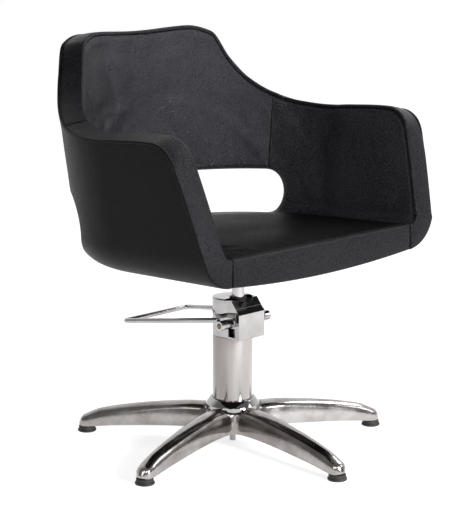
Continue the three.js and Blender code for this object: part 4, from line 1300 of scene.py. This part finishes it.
# ------------------------------------------------------------------ CAD nodes kept as they are
# The chrome seat socket takes the black enamel: painted shade for a part lying in the dark under the seat.
KEPT = {"star_base": CAST, "pump_tube": TUBE, "seat_core": PLY, "arm_core_left": PLY, "arm_core_right": PLY,
        "back_core": PLY, "mount_block": BLACK_PAINT_AND_SHADE, "mount_plate": BLACK_PAINT_AND_SHADE, "seat_socket": BLACK_PAINT_AND_SHADE,
        "swivel_pad": NYLON,
        "lever_bush_left": NYLON, "lever_bush_right": NYLON, "piston_seal": RUBBER,
        "rod_wiper_seal": RUBBER, "plunger_spring": STEEL, "plunger": STEEL, "plunger_barrel": STEEL,
        "rocker_arm": STEEL, "lever_shaft": STEEL, "pressure_cylinder": STEEL, "cylinder_gland": STEEL,
        "tube_foot": STEEL, "piston": STEEL, "base_bolt": STEEL, "clamp_screw": BRASS}
for node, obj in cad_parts.items():
    material = KEPT.get(node, CHROME)
    if node.startswith("glide_stud"):
        material = STEEL
    elif node.startswith("mount_bolt"):
        material = BLACK_PAINT_AND_SHADE
    elif node.startswith("glide_"):
        material = RUBBER
    for entry in obj.material_slots:
        entry.material = material
    obj.data.shade_smooth()
    crisp(obj)


# ------------------------------------------------------------------ floor, light and camera
ROOM = 0.22                            # brightness of the room in front of the chair
BACKDROP = 1.05                        # and of the backdrop behind it


def studio():
    scene = bpy.context.scene
    mesh = bpy.data.meshes.new("floor")
    size = 40.0
    mesh.from_pydata([(-size, -size, 0), (size, -size, 0), (size, size, 0), (-size, size, 0)], [],
                     [(0, 1, 2, 3)])
    floor = bpy.data.objects.new("floor", mesh)
    scene.collection.objects.link(floor)
    t = Tree("floor_paper", Base_Color=(0.52, 0.52, 0.52, 1), Roughness=0.9, Emission_Color=(1, 1, 1, 1),
             Emission_Strength=0.70)
    t.bump(t.noise(40, 2.0), 0.0003, 0.2)
    mesh.materials.append(t.material)

    world = bpy.data.worlds.new("studio")
    scene.world = world
    world.use_nodes = True
    nodes, links = world.node_tree.nodes, world.node_tree.links
    background = nodes["Background"]
    direction = nodes.new("ShaderNodeTexCoord").outputs["Generated"]
    towards = nodes.new("ShaderNodeVectorMath")
    towards.operation = "DOT_PRODUCT"
    towards.inputs[1].default_value = (0.70, 0.71, 0.0)
    links.new(direction, towards.inputs[0])
    level = nodes.new("ShaderNodeMapRange")
    level.interpolation_type = "SMOOTHSTEP"
    for key, value in (("From Min", -0.05), ("From Max", 0.6), ("To Min", ROOM), ("To Max", BACKDROP)):
        level.inputs[key].default_value = value
    links.new(towards.outputs["Value"], level.inputs["Value"])
    background.inputs["Color"].default_value = (1, 1, 1, 1)
    links.new(level.outputs["Result"], background.inputs["Strength"])

    def area(name, place, target, size, watts):
        light = bpy.data.lights.new(name, "AREA")
        light.shape = "RECTANGLE"
        light.size, light.size_y = size
        light.energy = watts
        obj = bpy.data.objects.new(name, light)
        obj.location = place
        obj.rotation_euler = (Vector(target) - Vector(place)).to_track_quat("-Z", "Y").to_euler()
        scene.collection.objects.link(obj)

    area("key", (-0.1, -3.1, 1.25), (0, 0, 0.6), (0.8, 0.8), 150)
    area("front", (2.1, -2.2, 1.9), (0, 0, 0.5), (0.9, 0.9), 13)
    area("near", (-2.3, -2.5, 1.9), (0, 0, 0.5), (0.5, 0.5), 15)
    area("fill", (-3.2, -0.9, 1.5), (0, 0, 0.45), (1.4, 1.6), 22)
    area("top", (2.1, -0.5, 2.6), (0, 0, 0.4), (1.0, 1.0), 38)

    camera = bpy.data.cameras.new("camera")
    camera.lens = 127.57
    camera.clip_end = 100
    obj = bpy.data.objects.new("camera", camera)
    bearing, tilt, distance = 0.7815, 0.2057, 3.406
    obj.location = (-distance * math.sin(bearing), -distance * math.cos(bearing), 1.0816)
    obj.rotation_euler = (math.pi / 2 - tilt, 0, -(bearing + 0.0025))
    scene.collection.objects.link(obj)
    scene.camera = obj
    scene.view_settings.view_transform = "Standard"


studio()
